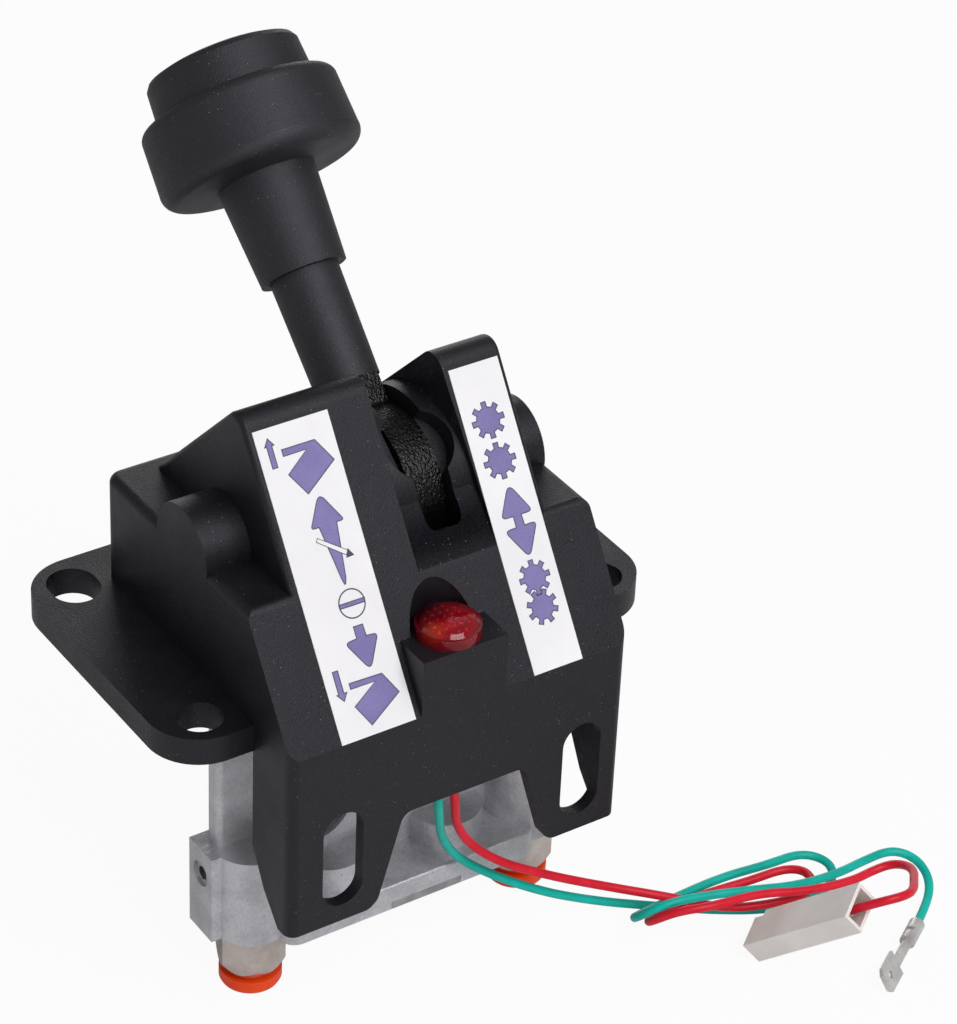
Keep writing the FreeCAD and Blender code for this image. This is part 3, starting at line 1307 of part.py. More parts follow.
contact = new_body("connector_terminal")
tang = Outline(contact, "TangOutline", "YZ_Plane", "connector_length - connector_mouth")
tang.box("connector_depth / 2 - contact_thick / 2", "connector_width / 2 - contact_wide / 2",
         "connector_depth / 2 + contact_thick / 2", "connector_width / 2 + contact_wide / 2")
pad(contact, "Tang", tang, "connector_mouth - contact_grip - contact_sink")
sleeve_end = Outline(contact, "CrimpOutline", "YZ_Plane",
                     "connector_length - contact_sink - contact_grip - 1")
sleeve_end.circle("connector_depth / 2", "connector_width / 2", "contact_radius")
pad(contact, "Crimp", sleeve_end, "contact_grip + 1")
pinch = Outline(contact, "PinchOutline", "YZ_Plane", "connector_length - contact_sink")
pinch.circle("connector_depth / 2", "connector_width / 2", "wire_radius")
pocket(contact, "Pinch", pinch, "contact_grip")
lay(contact, 61.04, -68.79, 4.05, "connector_yaw", "connector_pitch", "connector_roll")
nodes["connector_terminal"] = contact

spade = new_body("spade_terminal")
barrel = Outline(spade, "BarrelOutline", "YZ_Plane", "-crimp_back")
barrel.circle("0", "0", "crimp_radius")
pad(spade, "Barrel", barrel, "crimp_back + crimp_front")
strap = Outline(spade, "StrapPlan", "XY_Plane", "-spade_thick / 2")
strap.box("crimp_front - 1", "-neck_plate / 2", "spade_start + 0.5", "neck_plate / 2")
pad(spade, "Strap", strap, "spade_thick")
blade = Outline(spade, "BladePlan", "XY_Plane", "-spade_thick / 2")
blade.polygon([
    ("spade_start", "-spade_width / 2"),
    ("spade_start + spade_length - 1.2", "-spade_width / 2"),
    ("spade_start + spade_length", "-spade_width / 2 + 1.2"),
    ("spade_start + spade_length", "spade_width / 2 - 1.2"),
    ("spade_start + spade_length - 1.2", "spade_width / 2"),
    ("spade_start", "spade_width / 2"),
])
blade.circle("spade_start + spade_length * 0.6", "0", "spade_hole")
pad(spade, "Blade", blade, "spade_thick")
grip = Outline(spade, "GripOutline", "YZ_Plane", "-crimp_back")
grip.circle("0", "0", "wire_radius")
pocket(spade, "Grip", grip, "crimp_back", True)
waist = Outline(spade, "WaistOutline", "XY_Plane", "-crimp_radius")
waist.box("0.4", "-crimp_radius", "1.4", "-crimp_radius * 0.62")
waist.box("0.4", "crimp_radius * 0.62", "1.4", "crimp_radius")
pocket(spade, "Waist", waist, "2 * crimp_radius", True)
lay(spade, 97.6, -83.5, 2.95, "spade_yaw", "spade_pitch", "spade_roll")
nodes["spade_terminal"] = spade

for item in nodes.values():
    if item.Placement.isIdentity():
        place(item)
doc.recompute()
print("origin behind the pivot line", size(MIDDLE))
os.makedirs("parts", exist_ok=True)
total = 0
for name, item in nodes.items():
    shape = item.Shape
    if "Invalid" in item.State or "Error" in item.State or shape.isNull() or not shape.isValid():
        print("PROBLEM", name, item.State, "null" if shape.isNull() else "valid %s" % shape.isValid())
    triangles = len(shape.tessellate(0.1)[1])
    total += triangles
    box = shape.BoundBox
    print("%-28s %8.1f mm3 %6d tri  x %7.1f %7.1f  y %7.1f %7.1f  z %7.1f %7.1f" % (
        name, shape.Volume, triangles, box.XMin, box.XMax, box.YMin, box.YMax, box.ZMin, box.ZMax))
    shape.exportStep("parts/%s.step" % name)
print("nodes", len(nodes), "triangles", total)
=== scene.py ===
import json
import math

import bmesh
import bpy
from mathutils import Matrix, Vector
from mathutils.geometry import tessellate_polygon


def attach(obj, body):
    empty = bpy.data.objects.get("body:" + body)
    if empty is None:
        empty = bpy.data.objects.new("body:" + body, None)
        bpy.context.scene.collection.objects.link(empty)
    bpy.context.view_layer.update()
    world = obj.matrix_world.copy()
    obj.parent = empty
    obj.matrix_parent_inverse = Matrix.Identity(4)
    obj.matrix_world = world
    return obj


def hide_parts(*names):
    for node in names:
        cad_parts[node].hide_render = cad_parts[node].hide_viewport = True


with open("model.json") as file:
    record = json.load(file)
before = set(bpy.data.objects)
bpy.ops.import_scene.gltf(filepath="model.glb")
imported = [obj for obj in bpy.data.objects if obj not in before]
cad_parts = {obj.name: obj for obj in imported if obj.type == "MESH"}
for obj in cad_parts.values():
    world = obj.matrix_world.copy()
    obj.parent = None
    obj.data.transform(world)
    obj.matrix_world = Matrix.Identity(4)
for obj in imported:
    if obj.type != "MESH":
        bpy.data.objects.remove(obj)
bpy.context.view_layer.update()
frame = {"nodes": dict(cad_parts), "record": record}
nodes = frame["nodes"]
scene = bpy.context.scene
MM = 0.001

# Lines and levels of the valve that more than one piece is set from, in millimetres.
MIDDLE = 18.5417  # the lever's pivot line lies this far in front of the origin
PIVOT_HEIGHT = 105.5
LEVER_ACROSS = 8.0
LEVER_TILT = math.radians(45.6)
FACE_FOOT, FACE_FOOT_HEIGHT = -44.2, 78.8  # the lower edge of the sloping face
SLOPE = math.radians(56.4)
LAMP_LINE = -37.2  # the middle of the lamp


def at(across, behind, height):
    """A spot given in millimetres across, behind the lever's pivot line and above the floor."""
    return Vector((across, behind - MIDDLE, height)) * MM


def on_slope(across, along, lift):
    """A spot of the sloping face, in millimetres up along it and out from it."""
    return at(across, FACE_FOOT + along * math.cos(SLOPE) - lift * math.sin(SLOPE),
              FACE_FOOT_HEIGHT + along * math.sin(SLOPE) + lift * math.cos(SLOPE))


def add_object(name, data):
    added = bpy.data.objects.new(name, data)
    scene.collection.objects.link(added)
    return added


def mesh_object(name, build, materials):
    """Turns a finished bmesh into an object that wears the given materials."""
    mesh = bpy.data.meshes.new(name)
    build.to_mesh(mesh)
    build.free()
    for material in materials:
        mesh.materials.append(material)
    return add_object(name, mesh)


# Camera: the photograph's viewpoint, worked out from the flange, the knob and the fittings.
FOCAL_PIXELS = 3779.313
PHOTO_HEIGHT = 1024
SENSOR = 36.0
right = Vector((0.83447226, -0.54972053, 0.03825432))
up = Vector((0.2817272, 0.48526133, 0.82773862))
back = Vector((-0.47358825, -0.67994763, 0.55980834))
anchor = Vector((0.6, 0.3 - MIDDLE, 79.5))  # the eye is measured from here, in millimetres
eye = (right * 26.947 + up * 17.152 + back * 813.448 + anchor) * MM
camera_data = bpy.data.cameras.new("camera")
camera = add_object("camera", camera_data)
facing = Matrix((right, up, back)).transposed().to_4x4()
camera.matrix_world = Matrix.Translation(eye) @ facing
camera_data.sensor_width = SENSOR
camera_data.lens = FOCAL_PIXELS / PHOTO_HEIGHT * SENSOR
camera_data.clip_start = 0.05
camera_data.clip_end = 20.0
scene.camera = camera


# Materials. Textures are read in the object's own space, so scales are in repeats per metre.
def tree(owner):
    """The nodes and the links of a material or of the world."""
    owner.use_nodes = True
    return owner.node_tree.nodes, owner.node_tree.links


def object_space(made):
    return made.new("ShaderNodeTexCoord").outputs["Object"]


def place_texture(made, links, kind, scale, **values):
    texture = made.new(kind)
    links.new(object_space(made), texture.inputs["Vector"])
    texture.inputs["Scale"].default_value = scale
    for key, value in values.items():
        texture.inputs[key].default_value = value
    return texture


def ramp(made, links, source, low, high, first, second):
    """Runs from the first value to the second while the source goes from low to high."""
    node = made.new("ShaderNodeMapRange")
    links.new(source, node.inputs["Value"])
    node.inputs["From Min"].default_value = low
    node.inputs["From Max"].default_value = high
    node.inputs["To Min"].default_value = first
    node.inputs["To Max"].default_value = second
    return node.outputs["Result"]


def combine(made, links, operation, first, second, clamp=False):
    """Joins two values. The second is a socket or a plain number."""
    node = made.new("ShaderNodeMath")
    node.operation = operation
    node.use_clamp = clamp
    links.new(first, node.inputs[0])
    if isinstance(second, float):
        node.inputs[1].default_value = second
    else:
        links.new(second, node.inputs[1])
    return node.outputs[0]


def vector_step(made, links, operation, source, value):
    node = made.new("ShaderNodeVectorMath")
    node.operation = operation
    links.new(source, node.inputs[0])
    node.inputs[1].default_value = value
    return node


def blend_colours(made, links, amount, first, second):
    """Mixes two colours, each a triple or a socket."""
    node = made.new("ShaderNodeMix")
    node.data_type = "RGBA"
    links.new(amount, node.inputs["Factor"])
    for key, colour in (("A", first), ("B", second)):
        slot = [s for s in node.inputs if s.name == key and s.type == "RGBA"][0]
        if isinstance(colour, tuple):
            slot.default_value = (*colour, 1)
        else:
            links.new(colour, slot)
    return [s for s in node.outputs if s.type == "RGBA"][0]


def raise_surface(made, links, height, distance, normal_input):
    bump = made.new("ShaderNodeBump")
    bump.inputs["Distance"].default_value = distance
    links.new(height, bump.inputs["Height"])
    links.new(bump.outputs["Normal"], normal_input)
    return bump


looks = {}


def surface(name, dark, light, scale, rough, grain=4000.0, fine_detail=3.0, depth=0.00003,
            swell=0.0, sand=0.0, specks=None, **sockets):
    """Adds a look of two mottled tones with a fine grain and uneven gloss.

    The grain stands depth metres high, on waves of swell metres, and sand rubs it into the
    colour. Specks are given as their share of the surface's cells, their colour and their scale.
    """
    material = bpy.data.materials.new(name)
    made, links = tree(material)
    shader = made["Principled BSDF"]
    for key, value in sockets.items():
        shader.inputs[key.replace("_", " ")].default_value = value
    mottle = place_texture(made, links, "ShaderNodeTexNoise", scale, Detail=5.0, Roughness=0.6)
    amount = ramp(made, links, mottle.outputs["Fac"], 0.35, 0.65, 0.0, 1.0)
    fine = place_texture(made, links, "ShaderNodeTexNoise", grain, Detail=fine_detail,
                         Roughness=0.7)
    if sand > 0:
        rub = ramp(made, links, fine.outputs["Fac"], 0.38, 0.62, -sand, sand)
        amount = combine(made, links, "ADD", amount, rub, clamp=True)
    colour = blend_colours(made, links, amount, dark, light)
    if specks:
        share, speck_colour, speck_scale = specks
        dots = place_texture(made, links, "ShaderNodeTexVoronoi", speck_scale, Randomness=1.0)
        close = ramp(made, links, dots.outputs["Distance"], 0.08, 0.20, 1.0, 0.0)
        pick = made.new("ShaderNodeSeparateColor")
        links.new(dots.outputs["Color"], pick.inputs["Color"])
        chosen = ramp(made, links, pick.outputs["Red"], 1 - share, 1 - share * 0.6, 0.0, 1.0)
        shown = combine(made, links, "MULTIPLY", close, chosen)
        colour = blend_colours(made, links, shown, colour, speck_colour)
    links.new(colour, shader.inputs["Base Color"])
    links.new(ramp(made, links, mottle.outputs["Fac"], 0.3, 0.7, *rough),
              shader.inputs["Roughness"])
    bump = raise_surface(made, links, fine.outputs["Fac"], depth, shader.inputs["Normal"])
    if swell > 0:
        raise_surface(made, links, mottle.outputs["Fac"], swell, bump.inputs["Normal"])
    looks[name] = material


def nylon(name, rough, sheen):
    """Near-black moulded nylon with pale specks. Only its gloss differs between pieces."""
    surface(name, (0.0030, 0.0028, 0.0041), (0.0085, 0.0080, 0.0108), 90.0, rough,
            grain=2300.0, depth=0.00012, sand=1.1, specks=(0.06, (0.34, 0.34, 0.37), 1900.0),
            Specular_IOR_Level=sheen, Specular_Tint=(0.92, 0.90, 1.0, 1.0))


def wire_sleeve(name, dark, light):
    """The smooth sleeve of a lamp lead."""
    surface(name, dark, light, 140.0, (0.32, 0.45), grain=2500.0, depth=0.00002,
            Specular_IOR_Level=0.28)


nylon("moulded_nylon", (0.37, 0.50), 0.41)
nylon("grip_nylon", (0.50, 0.62), 0.69)
surface("hub_grain", (0.0018, 0.0018, 0.0020), (0.0040, 0.0040, 0.0044), 200.0, (0.20, 0.28),
        grain=1450.0, fine_detail=1.0, depth=0.0003, sand=0.5,
        specks=(0.03, (0.3, 0.3, 0.31), 1500.0), Specular_IOR_Level=0.24)
surface("cast_alloy", (0.50, 0.497, 0.525), (0.68, 0.675, 0.715), 110.0, (0.36, 0.52),
        grain=1500.0, depth=0.00008, swell=0.0007, sand=0.28,
        specks=(0.05, (0.22, 0.22, 0.23), 900.0), Metallic=0.55)
surface("zinc_plate", (0.36, 0.36, 0.37), (0.52, 0.52, 0.52), 220.0, (0.25, 0.42),
        grain=3000.0, Metallic=1.0)
surface("spring_steel", (0.28, 0.28, 0.29), (0.42, 0.42, 0.43), 300.0, (0.25, 0.4), Metallic=1.0)
surface("plated_rod", (0.55, 0.54, 0.53), (0.68, 0.67, 0.66), 120.0, (0.16, 0.3),
        depth=0.00001, Metallic=1.0)
surface("bronze", (0.36, 0.22, 0.10), (0.50, 0.33, 0.16), 200.0, (0.3, 0.5), Metallic=1.0)
surface("cam_steel", (0.26, 0.26, 0.27), (0.38, 0.38, 0.39), 260.0, (0.25, 0.4), Metallic=1.0)
surface("nickel_brass", (0.60, 0.52, 0.475), (0.80, 0.715, 0.665), 180.0, (0.14, 0.3),
        depth=0.00001, Metallic=1.0)
surface("seal_rubber", (0.012, 0.012, 0.012), (0.022, 0.022, 0.022), 200.0, (0.55, 0.75),
        grain=3500.0)
surface("orange_plastic", (0.90, 0.058, 0.005), (0.98, 0.085, 0.010), 110.0, (0.26, 0.4),
        depth=0.00002, Specular_IOR_Level=0.3)
surface("black_gloss", (0.010, 0.010, 0.011), (0.016, 0.016, 0.018), 150.0, (0.2, 0.35))
wire_sleeve("green_wire", (0.001, 0.42, 0.335), (0.004, 0.54, 0.45))
wire_sleeve("red_wire", (0.66, 0.006, 0.022), (0.80, 0.014, 0.040))
surface("cream_plastic", (0.83, 0.78, 0.745), (0.92, 0.885, 0.855), 70.0, (0.38, 0.52),
        grain=3000.0)
surface("tin_plate", (0.58, 0.57, 0.56), (0.78, 0.77, 0.76), 260.0, (0.28, 0.48),
        grain=3500.0, Metallic=0.65)
surface("decal_film", (0.85, 0.835, 0.86), (0.91, 0.895, 0.92), 35.0, (0.36, 0.48),
        grain=1800.0, depth=0.00001, Specular_IOR_Level=0.25)
surface("ink_fill", (0.200, 0.167, 0.385), (0.240, 0.205, 0.450), 90.0, (0.4, 0.55),
        grain=2600.0, sand=0.35, Specular_IOR_Level=0.25)
surface("ink_line", (0.060, 0.055, 0.095), (0.10, 0.09, 0.15), 150.0, (0.4, 0.55),
        Specular_IOR_Level=0.25)
surface("red_lens", (0.60, 0.010, 0.026), (0.78, 0.022, 0.050), 160.0, (0.03, 0.08),
        depth=0.000005, Transmission_Weight=0.8, IOR=1.45, Specular_IOR_Level=0.3)
surface("bulb_glass", (0.85, 0.85, 0.85), (0.95, 0.95, 0.95), 200.0, (0.02, 0.06),
        depth=0.000003, Transmission_Weight=0.6)
# The studs' light pinkish red is a painted glint of each prism.
surface("prism_glint_red", (0.90, 0.16, 0.19), (0.98, 0.34, 0.38), 300.0, (0.05, 0.12),
        depth=0.000003)
# Lighter than the nylon: the knob's mould seam, and a painted highlight line round its lower edge.
surface("seam_and_edge_highlight", (0.022, 0.022, 0.025), (0.034, 0.034, 0.038), 120.0, (0.3, 0.42),
        grain=3000.0, depth=0.00002, Specular_IOR_Level=0.4)


def paint_shade_and_glint(material, spots):
    """Paints light and shade into a look's colour near spots of the object, each with a reach and
    a colour.
    """
    made, links = tree(material)
    base = made["Principled BSDF"].inputs["Base Color"]
    colour = base.links[0].from_socket
    where = object_space(made)
    for spot, reach, tone in spots:
        gap = vector_step(made, links, "DISTANCE", where, spot)
        near = ramp(made, links, gap.outputs["Value"], 0.25 * reach, reach, 1.0, 0.0)
        colour = blend_colours(made, links, near, colour, tone)
    links.new(colour, base)


def paint_recess_shade(material, left, right, heights):
    """Takes the sheen from what lies behind the sloping face, between two sides, as painted shade.

    Over the five heights the dulling sets in, reaches 0.62 and then 0.92, starts to ease and ends.
    """
    made, links = tree(material)
    sheen = made["Principled BSDF"].inputs["Specular IOR Level"]
    where = object_space(made)
    split = made.new("ShaderNodeSeparateXYZ")
    links.new(where, split.inputs[0])
    across, level = split.outputs["X"], split.outputs["Z"]
    offset = vector_step(made, links, "SUBTRACT", where, on_slope(0, 0, 0))
    inward = (0, math.sin(SLOPE), -math.cos(SLOPE))
    depth = vector_step(made, links, "DOT_PRODUCT", offset.outputs["Vector"], inward)
    start, foot, full, ease, end = heights
    side = 0.1 * MM
    mask = ramp(made, links, depth.outputs["Value"], 0.02 * MM, 0.08 * MM, 0.0, 1.0)
    for source, *span in (
        (across, left - side, left, 0.0, 1.0),
        (across, right, right + side, 1.0, 0.0),
        (level, start, foot, 0.0, 1.0),
        (level, foot, full, 0.62, 0.92),
        (level, ease, end, 1.0, 0.0),
    ):
        mask = combine(made, links, "MULTIPLY", mask, ramp(made, links, source, *span))
    links.new(ramp(made, links, mask, 0.0, 1.0, sheen.default_value, 0.0), sheen)


# The lens's colour carries painted shade behind and left of its middle, and a painted orange glint
# at its near left.
paint_shade_and_glint(looks["red_lens"], [
    (at(-3.0, -31.0, 95.0), 8.5 * MM, (0.10, 0.0, 0.002)),
    (at(-4.2, -39.2, 94.6), 3.2 * MM, (1.0, 0.12, 0.015)),
])
# Painted shade in the housing's recess round the lever's hub: its sheen is taken away so that it
# reads darker.
paint_recess_shade(looks["moulded_nylon"], -1.8 * MM, 18.1 * MM,
            (0.1018, 0.1024, 0.1060, 0.1085, 0.1200))

# Pieces that look different from the rest of their slot.
own_looks = {"lever_hub": "hub_grain", "lever_shaft": "grip_nylon", "lift_collar": "grip_nylon",
             "knob_cap": "grip_nylon"}
for part in frame["record"]["subparts"]:
    dressed = nodes[part["node"]].data.materials
    dressed.clear()
    dressed.append(looks[own_looks.get(part["node"], part["material_slot"])])


# Lamp leads. Their spots are set out as at() takes them, from the lamp to the connector.
green_route = [
    (-1.3, LAMP_LINE, 71.0), (-1.3, LAMP_LINE, 60.0), (-1.2, -38.1, 47.5), (4.4, -31.5, 31.0),
    (12.04, -31.24, 21.0), (27.14, -36.22, 11.0), (41.84, -39.8, 4.2), (54.01, -44.48, 1.05),
    (64.64, -52.55, 1.0), (75.52, -58.98, 1.0), (85.93, -61.02, 1.0), (93.78, -59.45, 1.2),
    (97.85, -53.88, 1.8), (93.47, -48.27, 2.8), (82.9, -48.49, 3.6), (71.95, -47.45, 4.2),
    (60.18, -47.73, 4.4), (45.42, -48.83, 4.5), (41.96, -53.99, 9.6), (46.44, -58.26, 14.6),
    (53.95, -59.03, 14.0), (66.51, -61.5, 12.4), (79.15, -63.86, 10.0), (91.13, -63.52, 8.2),
    (99.86, -62.03, 7.2), (107.62, -61.41, 6.6), (111.29, -64.08, 6.0), (112.31, -68.62, 5.2),
    (110.36, -74.03, 4.0), (104.4, -79.1, 2.95), (97.6, -83.5, 2.95),
]
red_route = [
    (1.5, LAMP_LINE, 71.0), (1.5, LAMP_LINE, 62.0), (3.2, -37.7, 48.5), (7.0, -33.4, 34.0),
    (15.12, -36.09, 24.5), (29.96, -39.48, 16.0), (44.46, -43.75, 9.6), (55.07, -49.9, 6.9),
    (63.5, -59.24, 6.6), (74.51, -63.03, 6.4), (82.16, -63.93, 6.2), (86.87, -60.77, 5.8),
    (87.98, -55.79, 5.2), (84.38, -52.45, 4.6), (75.95, -51.74, 4.3), (68.78, -50.74, 4.3),
    (60.83, -50.2, 4.5), (47.21, -51.64, 4.7), (44.02, -56.66, 9.5), (47.87, -61.27, 14.2),
    (54.42, -64.42, 15.0), (67.44, -64.39, 13.2), (78.88, -67.59, 11.2), (91.02, -68.75, 9.8),
    (98.15, -67.99, 9.6), (102.04, -69.49, 10.8), (102.8, -73.5, 12.8), (100.33, -78.51, 15.6),
    (94.74, -84.66, 20.0), (89.46, -90.61, 24.0), (83.6, -94.9, 27.6), (76.6, -92.6, 26.75),
    (73.73, -85.31, 19.94),
]


def lead(name, route, look, cad_node):
    """A round wire along a route of spots, in place of the node that stands for it."""
    curve = bpy.data.curves.new(name, "CURVE")
    curve.dimensions = "3D"
    curve.bevel_depth = 1.0 * MM
    curve.bevel_resolution = 5
    curve.use_fill_caps = True
    spline = curve.splines.new("NURBS")
    spline.points.add(len(route) - 1)
    for point, spot in zip(spline.points, route):
        point.co = (*at(*spot), 1)
    spline.order_u = 3
    spline.use_endpoint_u = True
    spline.resolution_u = 10
    curve.materials.append(looks[look])
    wire = add_object(name, curve)
    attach(wire, "base")
    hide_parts(cad_node)


lead("lead_green", green_route, "green_wire", "wire_green")
lead("lead_red", red_route, "red_wire", "wire_red")


# Pictograms: flat inked shapes laid on the two films of the sloping face. Their points are in
# millimetres across and up along the face. Each ink lies over those before it.
INKS = ("ink_fill", "ink_line", "decal_film")
FILL, LINE, FILM = range(len(INKS))
SHAPE_LIFT, OUTLINE_LIFT, DIAL_LIFT = 0.215, 0.222, 0.226
BAR_LIFT, BAR_EDGE_LIFT, BAR_TIP_LIFT = 0.230, 0.234, 0.236
OUTLINE_WIDTH, DIAL_WIDTH, BAR_EDGE_WIDTH = 0.22, 0.30, 0.16
GEAR_TEETH = 8
HALF_ROOT, HALF_TIP = 11.5, 8.6  # half a tooth's width at its root and tip, in degrees
SHORTEST = 1e-6


def bearings(count):
    """Angles evenly round a circle."""
    return [2 * math.pi * k / count for k in range(count)]


def circle(middle, radius):
    return [(middle[0] + radius * math.cos(angle), middle[1] + radius * math.sin(angle))
            for angle in bearings(48)]


def rounded(points, radii):
    """Replaces each corner by an arc of the radius that goes with it."""
    out = []
    total = len(points)
    for i, radius in enumerate(radii):
        before = Vector(points[i - 1])
        here = Vector(points[i])
        after = Vector(points[(i + 1) % total])
        if radius <= 0:
            out.append(tuple(here))
            continue
        inward = (before - here).normalized()
        onward = (after - here).normalized()
        half = inward.angle(onward) / 2
        reach = min(radius / math.tan(half), 0.45 * (before - here).length,
                    0.45 * (after - here).length)
        first = here + inward * reach
        last = here + onward * reach
        for step in range(7):
            t = step / 6
            out.append(tuple(first * (1 - t) ** 2 + here * 2 * t * (1 - t) + last * t ** 2))
    return out


def gear(middle, root, tip, start):
    """A gear's outline with straight-sided teeth, the first at start degrees."""
    points = []
    for tooth in range(GEAR_TEETH):
        centre = start + 360 / GEAR_TEETH * tooth
        following = centre + 360 / GEAR_TEETH
        for angle, reach in ((centre - HALF_ROOT, root), (centre - HALF_TIP, tip),
                             (centre + HALF_TIP, tip), (centre + HALF_ROOT, root)):
            turned = math.radians(angle)
            points.append((middle[0] + reach * math.cos(turned),
                           middle[1] + reach * math.sin(turned)))
        for share in (0.25, 0.5, 0.75):
            gap = math.radians(centre + HALF_ROOT + (following - centre - 2 * HALF_ROOT) * share)
            points.append((middle[0] + root * math.cos(gap), middle[1] + root * math.sin(gap)))
    return points


def add_face(mesh, points, lift, ink):
    verts = [mesh.verts.new(on_slope(a, b, lift)) for a, b in points]
    for corners in tessellate_polygon([[Vector((a, b, 0)) for a, b in points]]):
        face = mesh.faces.new([verts[corner] for corner in corners])
        face.material_index = ink


def add_line(mesh, points, width, lift, ink):
    """A strip of even width along a closed path of points."""
    total = len(points)
    spots = [Vector(p) for p in points]
    sides = []
    for i in range(total):
        ahead = spots[(i + 1) % total] - spots[i]
        behind = spots[i] - spots[i - 1]
        if ahead.length < SHORTEST:
            ahead = behind
        if behind.length < SHORTEST:
            behind = ahead
        onward = ahead.normalized() + behind.normalized()
        normal = Vector((-onward.y, onward.x))
        if normal.length < SHORTEST:
            normal = Vector((-ahead.y, ahead.x))
        normal.normalize()
        straight = Vector((-ahead.normalized().y, ahead.normalized().x))
        grow = 1 / max(0.5, abs(normal.dot(straight)))
        offset = normal * width / 2 * grow
        sides.append((mesh.verts.new(on_slope(*(spots[i] + offset), lift)),
                      mesh.verts.new(on_slope(*(spots[i] - offset), lift))))
    for i in range(total):
        a, b = sides[i]
        c, d = sides[(i + 1) % total]
        face = mesh.faces.new((a, b, d, c))
        face.material_index = ink


up_arrow = [(-27.35, 58.3), (-26.15, 58.3), (-26.15, 62.9), (-25.6, 62.9), (-26.7, 64.5),
            (-27.8, 62.9), (-27.35, 62.9)]
down_arrow = [(-27.25, 15.1), (-27.25, 10.3), (-27.7, 10.3), (-26.4, 8.7), (-25.3, 10.3),
              (-26.0, 10.3), (-26.0, 15.1)]
upper_body = [(-24.3, 61.5), (-16.5, 61.5), (-13.4, 56.4), (-21.2, 51.3), (-24.3, 56.2),
              (-18.8, 60.1), (-24.3, 60.1)]
lower_body = [(-24.3, 11.8), (-16.5, 11.6), (-13.8, 6.8), (-21.8, 2.2), (-24.4, 6.9),
              (-18.4, 10.5), (-24.3, 10.6)]
up_wedge = rounded(
    [(-19.0, 50.9), (-22.9, 44.1), (-21.0, 44.1), (-19.3, 32.6), (-18.9, 31.0), (-18.3, 32.6),
     (-16.8, 44.1), (-15.0, 44.1)], [1.2, 1.0, 0, 0, 0.5, 0, 0, 1.0])
down_wedge = rounded(
    [(-19.8, 22.5), (-19.8, 20.0), (-22.7, 19.8), (-18.6, 13.0), (-14.8, 19.8), (-17.5, 20.0),
     (-17.6, 22.5)], [0, 0, 0.9, 1.0, 0.9, 0, 0])
double_arrow = rounded(
    [(24.0, 40.4), (20.2, 33.5), (23.1, 33.4), (23.1, 31.0), (20.2, 30.9), (24.35, 24.0),
     (28.2, 31.0), (25.2, 31.0), (25.1, 33.4), (28.0, 33.4)],
    [1.2, 0.9, 0, 0, 0.9, 1.1, 0.9, 0, 0, 0.9])
dial_bar = [(-21.6, 26.8), (-15.6, 26.75), (-15.5, 27.6), (-21.5, 27.65)]
slant_bar = [(-22.5, 41.35), (-22.1, 42.1), (-16.2, 37.9), (-16.75, 37.0)]
slant_tip = [(-16.1, 38.3), (-15.0, 36.5), (-17.0, 36.4)]

sheet = bmesh.new()
for shape in (up_arrow, down_arrow, upper_body, lower_body, up_wedge, down_wedge,
              gear((23.65, 54.3), 2.75, 3.95, 2.0), gear((23.7, 45.45), 2.75, 3.9, 0.0),
              double_arrow, gear((24.1, 19.85), 2.6, 3.75, 0.0),
              gear((24.0, 13.4), 2.6, 3.75, 22.5), dial_bar):
    add_face(sheet, shape, SHAPE_LIFT, FILL)
    add_line(sheet, shape, OUTLINE_WIDTH, OUTLINE_LIFT, LINE)
add_line(sheet, circle((-18.6, 27.2), 3.0), DIAL_WIDTH, DIAL_LIFT, LINE)
add_face(sheet, slant_bar, BAR_LIFT, FILM)
add_line(sheet, slant_bar, BAR_EDGE_WIDTH, BAR_EDGE_LIFT, LINE)
add_face(sheet, slant_tip, BAR_TIP_LIFT, LINE)
sheet.normal_update()
for face in sheet.faces:
    if face.normal.y > 0:
        face.normal_flip()
ink = mesh_object("pictograms", sheet, [looks[name] for name in INKS])
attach(ink, "base")


# Prismatic studs in even rows under the lamp's domed lens. They stand for the lens's prisms, and
# their light pinkish red is a painted glint.
STUD_PITCH, STUD_RADIUS, STUD_REACH = 1.75, 0.36, 5.0
DOME_TOP, DOME_FALL = 95.3, 0.012
studs = bmesh.new()
for row in range(-2, 3):
    for line in range(-2, 4):
        across, behind = (row - 0.2) * STUD_PITCH, (line - 0.5) * STUD_PITCH
        if math.hypot(across, behind) > STUD_REACH:
            continue
        level = DOME_TOP - DOME_FALL * (across ** 2 + behind ** 2)
        spot = at(across, LAMP_LINE + behind, level)
        bmesh.ops.create_uvsphere(studs, u_segments=10, v_segments=6, radius=STUD_RADIUS * MM,
                                  matrix=Matrix.Translation(spot))
stud_object = mesh_object("lens_studs", studs, [looks["prism_glint_red"]])
for polygon in stud_object.data.polygons:
    polygon.use_smooth = True
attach(stud_object, "base")


# Strips on the sliding knob, lighter than its nylon: a mould seam up its side, and a painted
# highlight line round its lower edge, where its rounding starts. They are given in the lever's own
# millimetres, along and round its shaft.
LEVER = (Matrix.Translation(at(LEVER_ACROSS, 0.0, PIVOT_HEIGHT))
         @ Matrix.Rotation(-LEVER_TILT, 4, "X"))
STRIP_WIDTH = 0.16
SIDE_BEARING = math.radians(246)
EDGE_RADIUS, EDGE_HEIGHT = 22.90, 74.25


def add_lever_strip(mesh, spots, closed=False):
    """A flat strip through pairs of a spot and its sideways direction."""
    sides = []
    for spot, sideways in spots:
        sides.append((mesh.verts.new(LEVER @ ((spot + sideways * STRIP_WIDTH / 2) * MM)),
                      mesh.verts.new(LEVER @ ((spot - sideways * STRIP_WIDTH / 2) * MM))))
    for (a, b), (c, d) in zip(sides, sides[1:] + (sides[:1] if closed else [])):
        mesh.faces.new((a, b, d, c))


def polar(radius, bearing, height):
    return Vector((radius * math.cos(bearing), radius * math.sin(bearing), height))


def side_radius(height):
    """The knob's side narrows towards its top."""
    return 23.02 - 0.0457 * (height - 71.0)


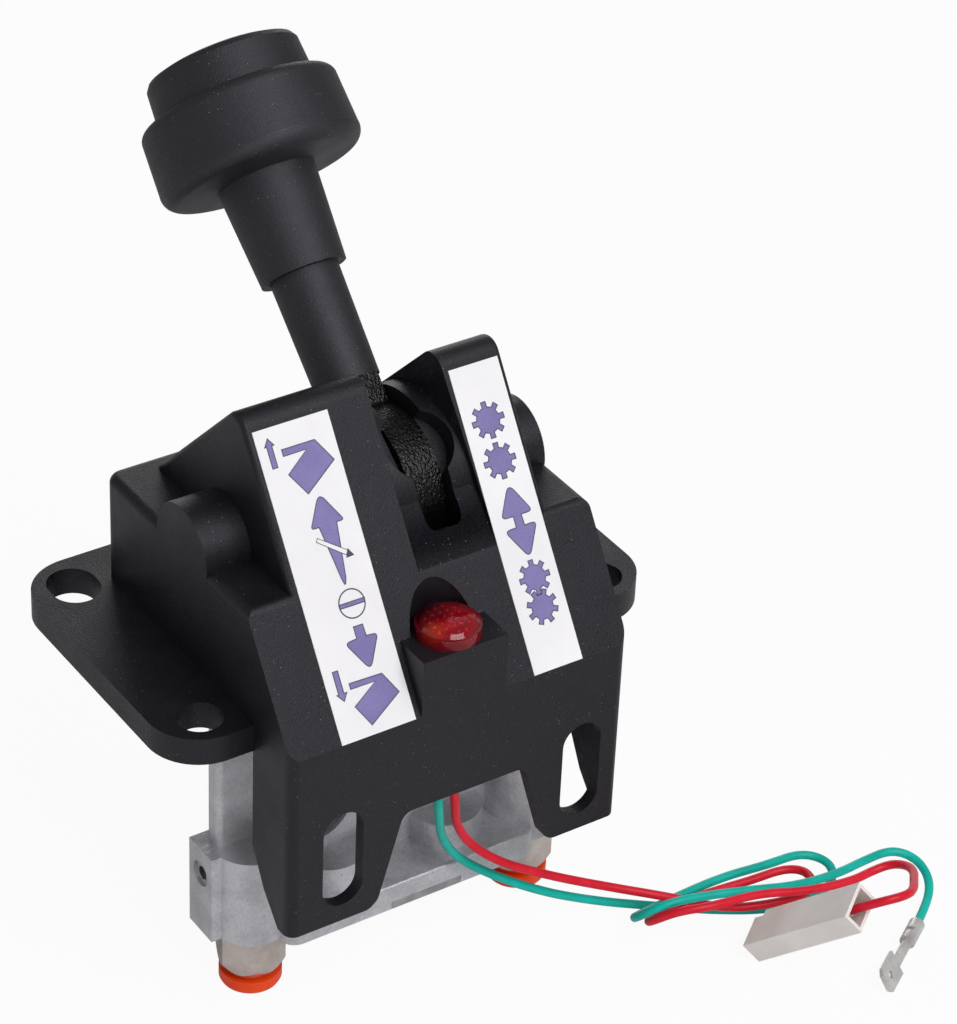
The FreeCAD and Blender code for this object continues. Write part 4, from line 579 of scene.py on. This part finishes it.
lever_strips = bmesh.new()
tangent = Vector((-math.sin(SIDE_BEARING), math.cos(SIDE_BEARING), 0))
add_lever_strip(lever_strips, [(polar(side_radius(height), SIDE_BEARING, height), tangent)
                 for height in (74.4, 78.0, 82.0, 85.6)])
# The ring round the lower edge is a painted highlight line.
add_lever_strip(lever_strips, [(polar(EDGE_RADIUS, bearing, EDGE_HEIGHT), Vector((0, 0, 1)))
                 for bearing in bearings(96)], closed=True)
lever_strips.normal_update()
knob_strip_object = mesh_object("knob_seam_and_edge_highlight", lever_strips, [looks["seam_and_edge_highlight"]])
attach(knob_strip_object, "collar")


# Floor and world: pale paper and a dim sky, which look white or nearly so to the camera and
# through glass.
FLOOR_HALF_WIDTH = 6.0
FLOOR_DROP = 0.0002
FLOOR_GLOW = 0.94
SKY_LEVEL = 0.28


def seen_as_background(made, links):
    rays = made.new("ShaderNodeLightPath")
    return combine(made, links, "MAXIMUM", rays.outputs["Is Camera Ray"],
                   rays.outputs["Is Transmission Ray"])


paper = bpy.data.materials.new("floor_paper")
made, links = tree(paper)
shader = made["Principled BSDF"]
shader.inputs["Base Color"].default_value = (0.74, 0.74, 0.75, 1)
shader.inputs["Roughness"].default_value = 0.9
glow = made.new("ShaderNodeEmission")
glow.inputs["Color"].default_value = (1, 1, 1, 1)
glow.inputs["Strength"].default_value = 1.0
mixer = made.new("ShaderNodeMixShader")
links.new(combine(made, links, "MULTIPLY", seen_as_background(made, links), FLOOR_GLOW),
          mixer.inputs["Fac"])
links.new(shader.outputs["BSDF"], mixer.inputs[1])
links.new(glow.outputs["Emission"], mixer.inputs[2])
links.new(mixer.outputs["Shader"], made["Material Output"].inputs["Surface"])
plane = bmesh.new()
bmesh.ops.create_grid(plane, x_segments=1, y_segments=1, size=FLOOR_HALF_WIDTH)
floor = mesh_object("floor", plane, [paper])
floor.location = (0, 0, -FLOOR_DROP)

world = bpy.data.worlds.new("world")
scene.world = world
made, links = tree(world)
sky = made["Background"]
sky.inputs["Color"].default_value = (1, 1, 1, 1)
links.new(ramp(made, links, seen_as_background(made, links), 0.0, 1.0, SKY_LEVEL, 1.0),
          sky.inputs["Strength"])


def softbox(name, place, aim, size, power):
    """A lamp aimed at a spot, both set out from the same lines as at() takes, but in metres."""
    data = bpy.data.lights.new(name, "AREA")
    data.shape = "RECTANGLE"
    data.size, data.size_y = size
    data.energy = power
    lamp = add_object(name, data)
    lamp.location = Vector(place) - Vector((0, MIDDLE * MM, 0))
    lamp.rotation_mode = "QUATERNION"
    lamp.rotation_quaternion = (Vector(aim) - Vector(place)).to_track_quat("-Z", "Y")


softbox("key", (0.12, -0.90, 0.98), (0, 0, 0.11), (0.85, 0.6), 9.4)
softbox("fill", (-0.55, -0.95, 0.42), (0, 0, 0.09), (0.9, 0.7), 1.2)
softbox("side", (-1.1, 0.25, 0.4), (0, 0, 0.08), (1.2, 0.8), 0.6)
softbox("rim", (0.62, 0.95, 0.32), (0, 0, 0.11), (0.6, 0.4), 2.2)
softbox("strip", (0.30, -0.30, 1.2), (0, 0, 0.09), (0.6, 0.12), 1.3)
scene.view_settings.view_transform = "Standard"
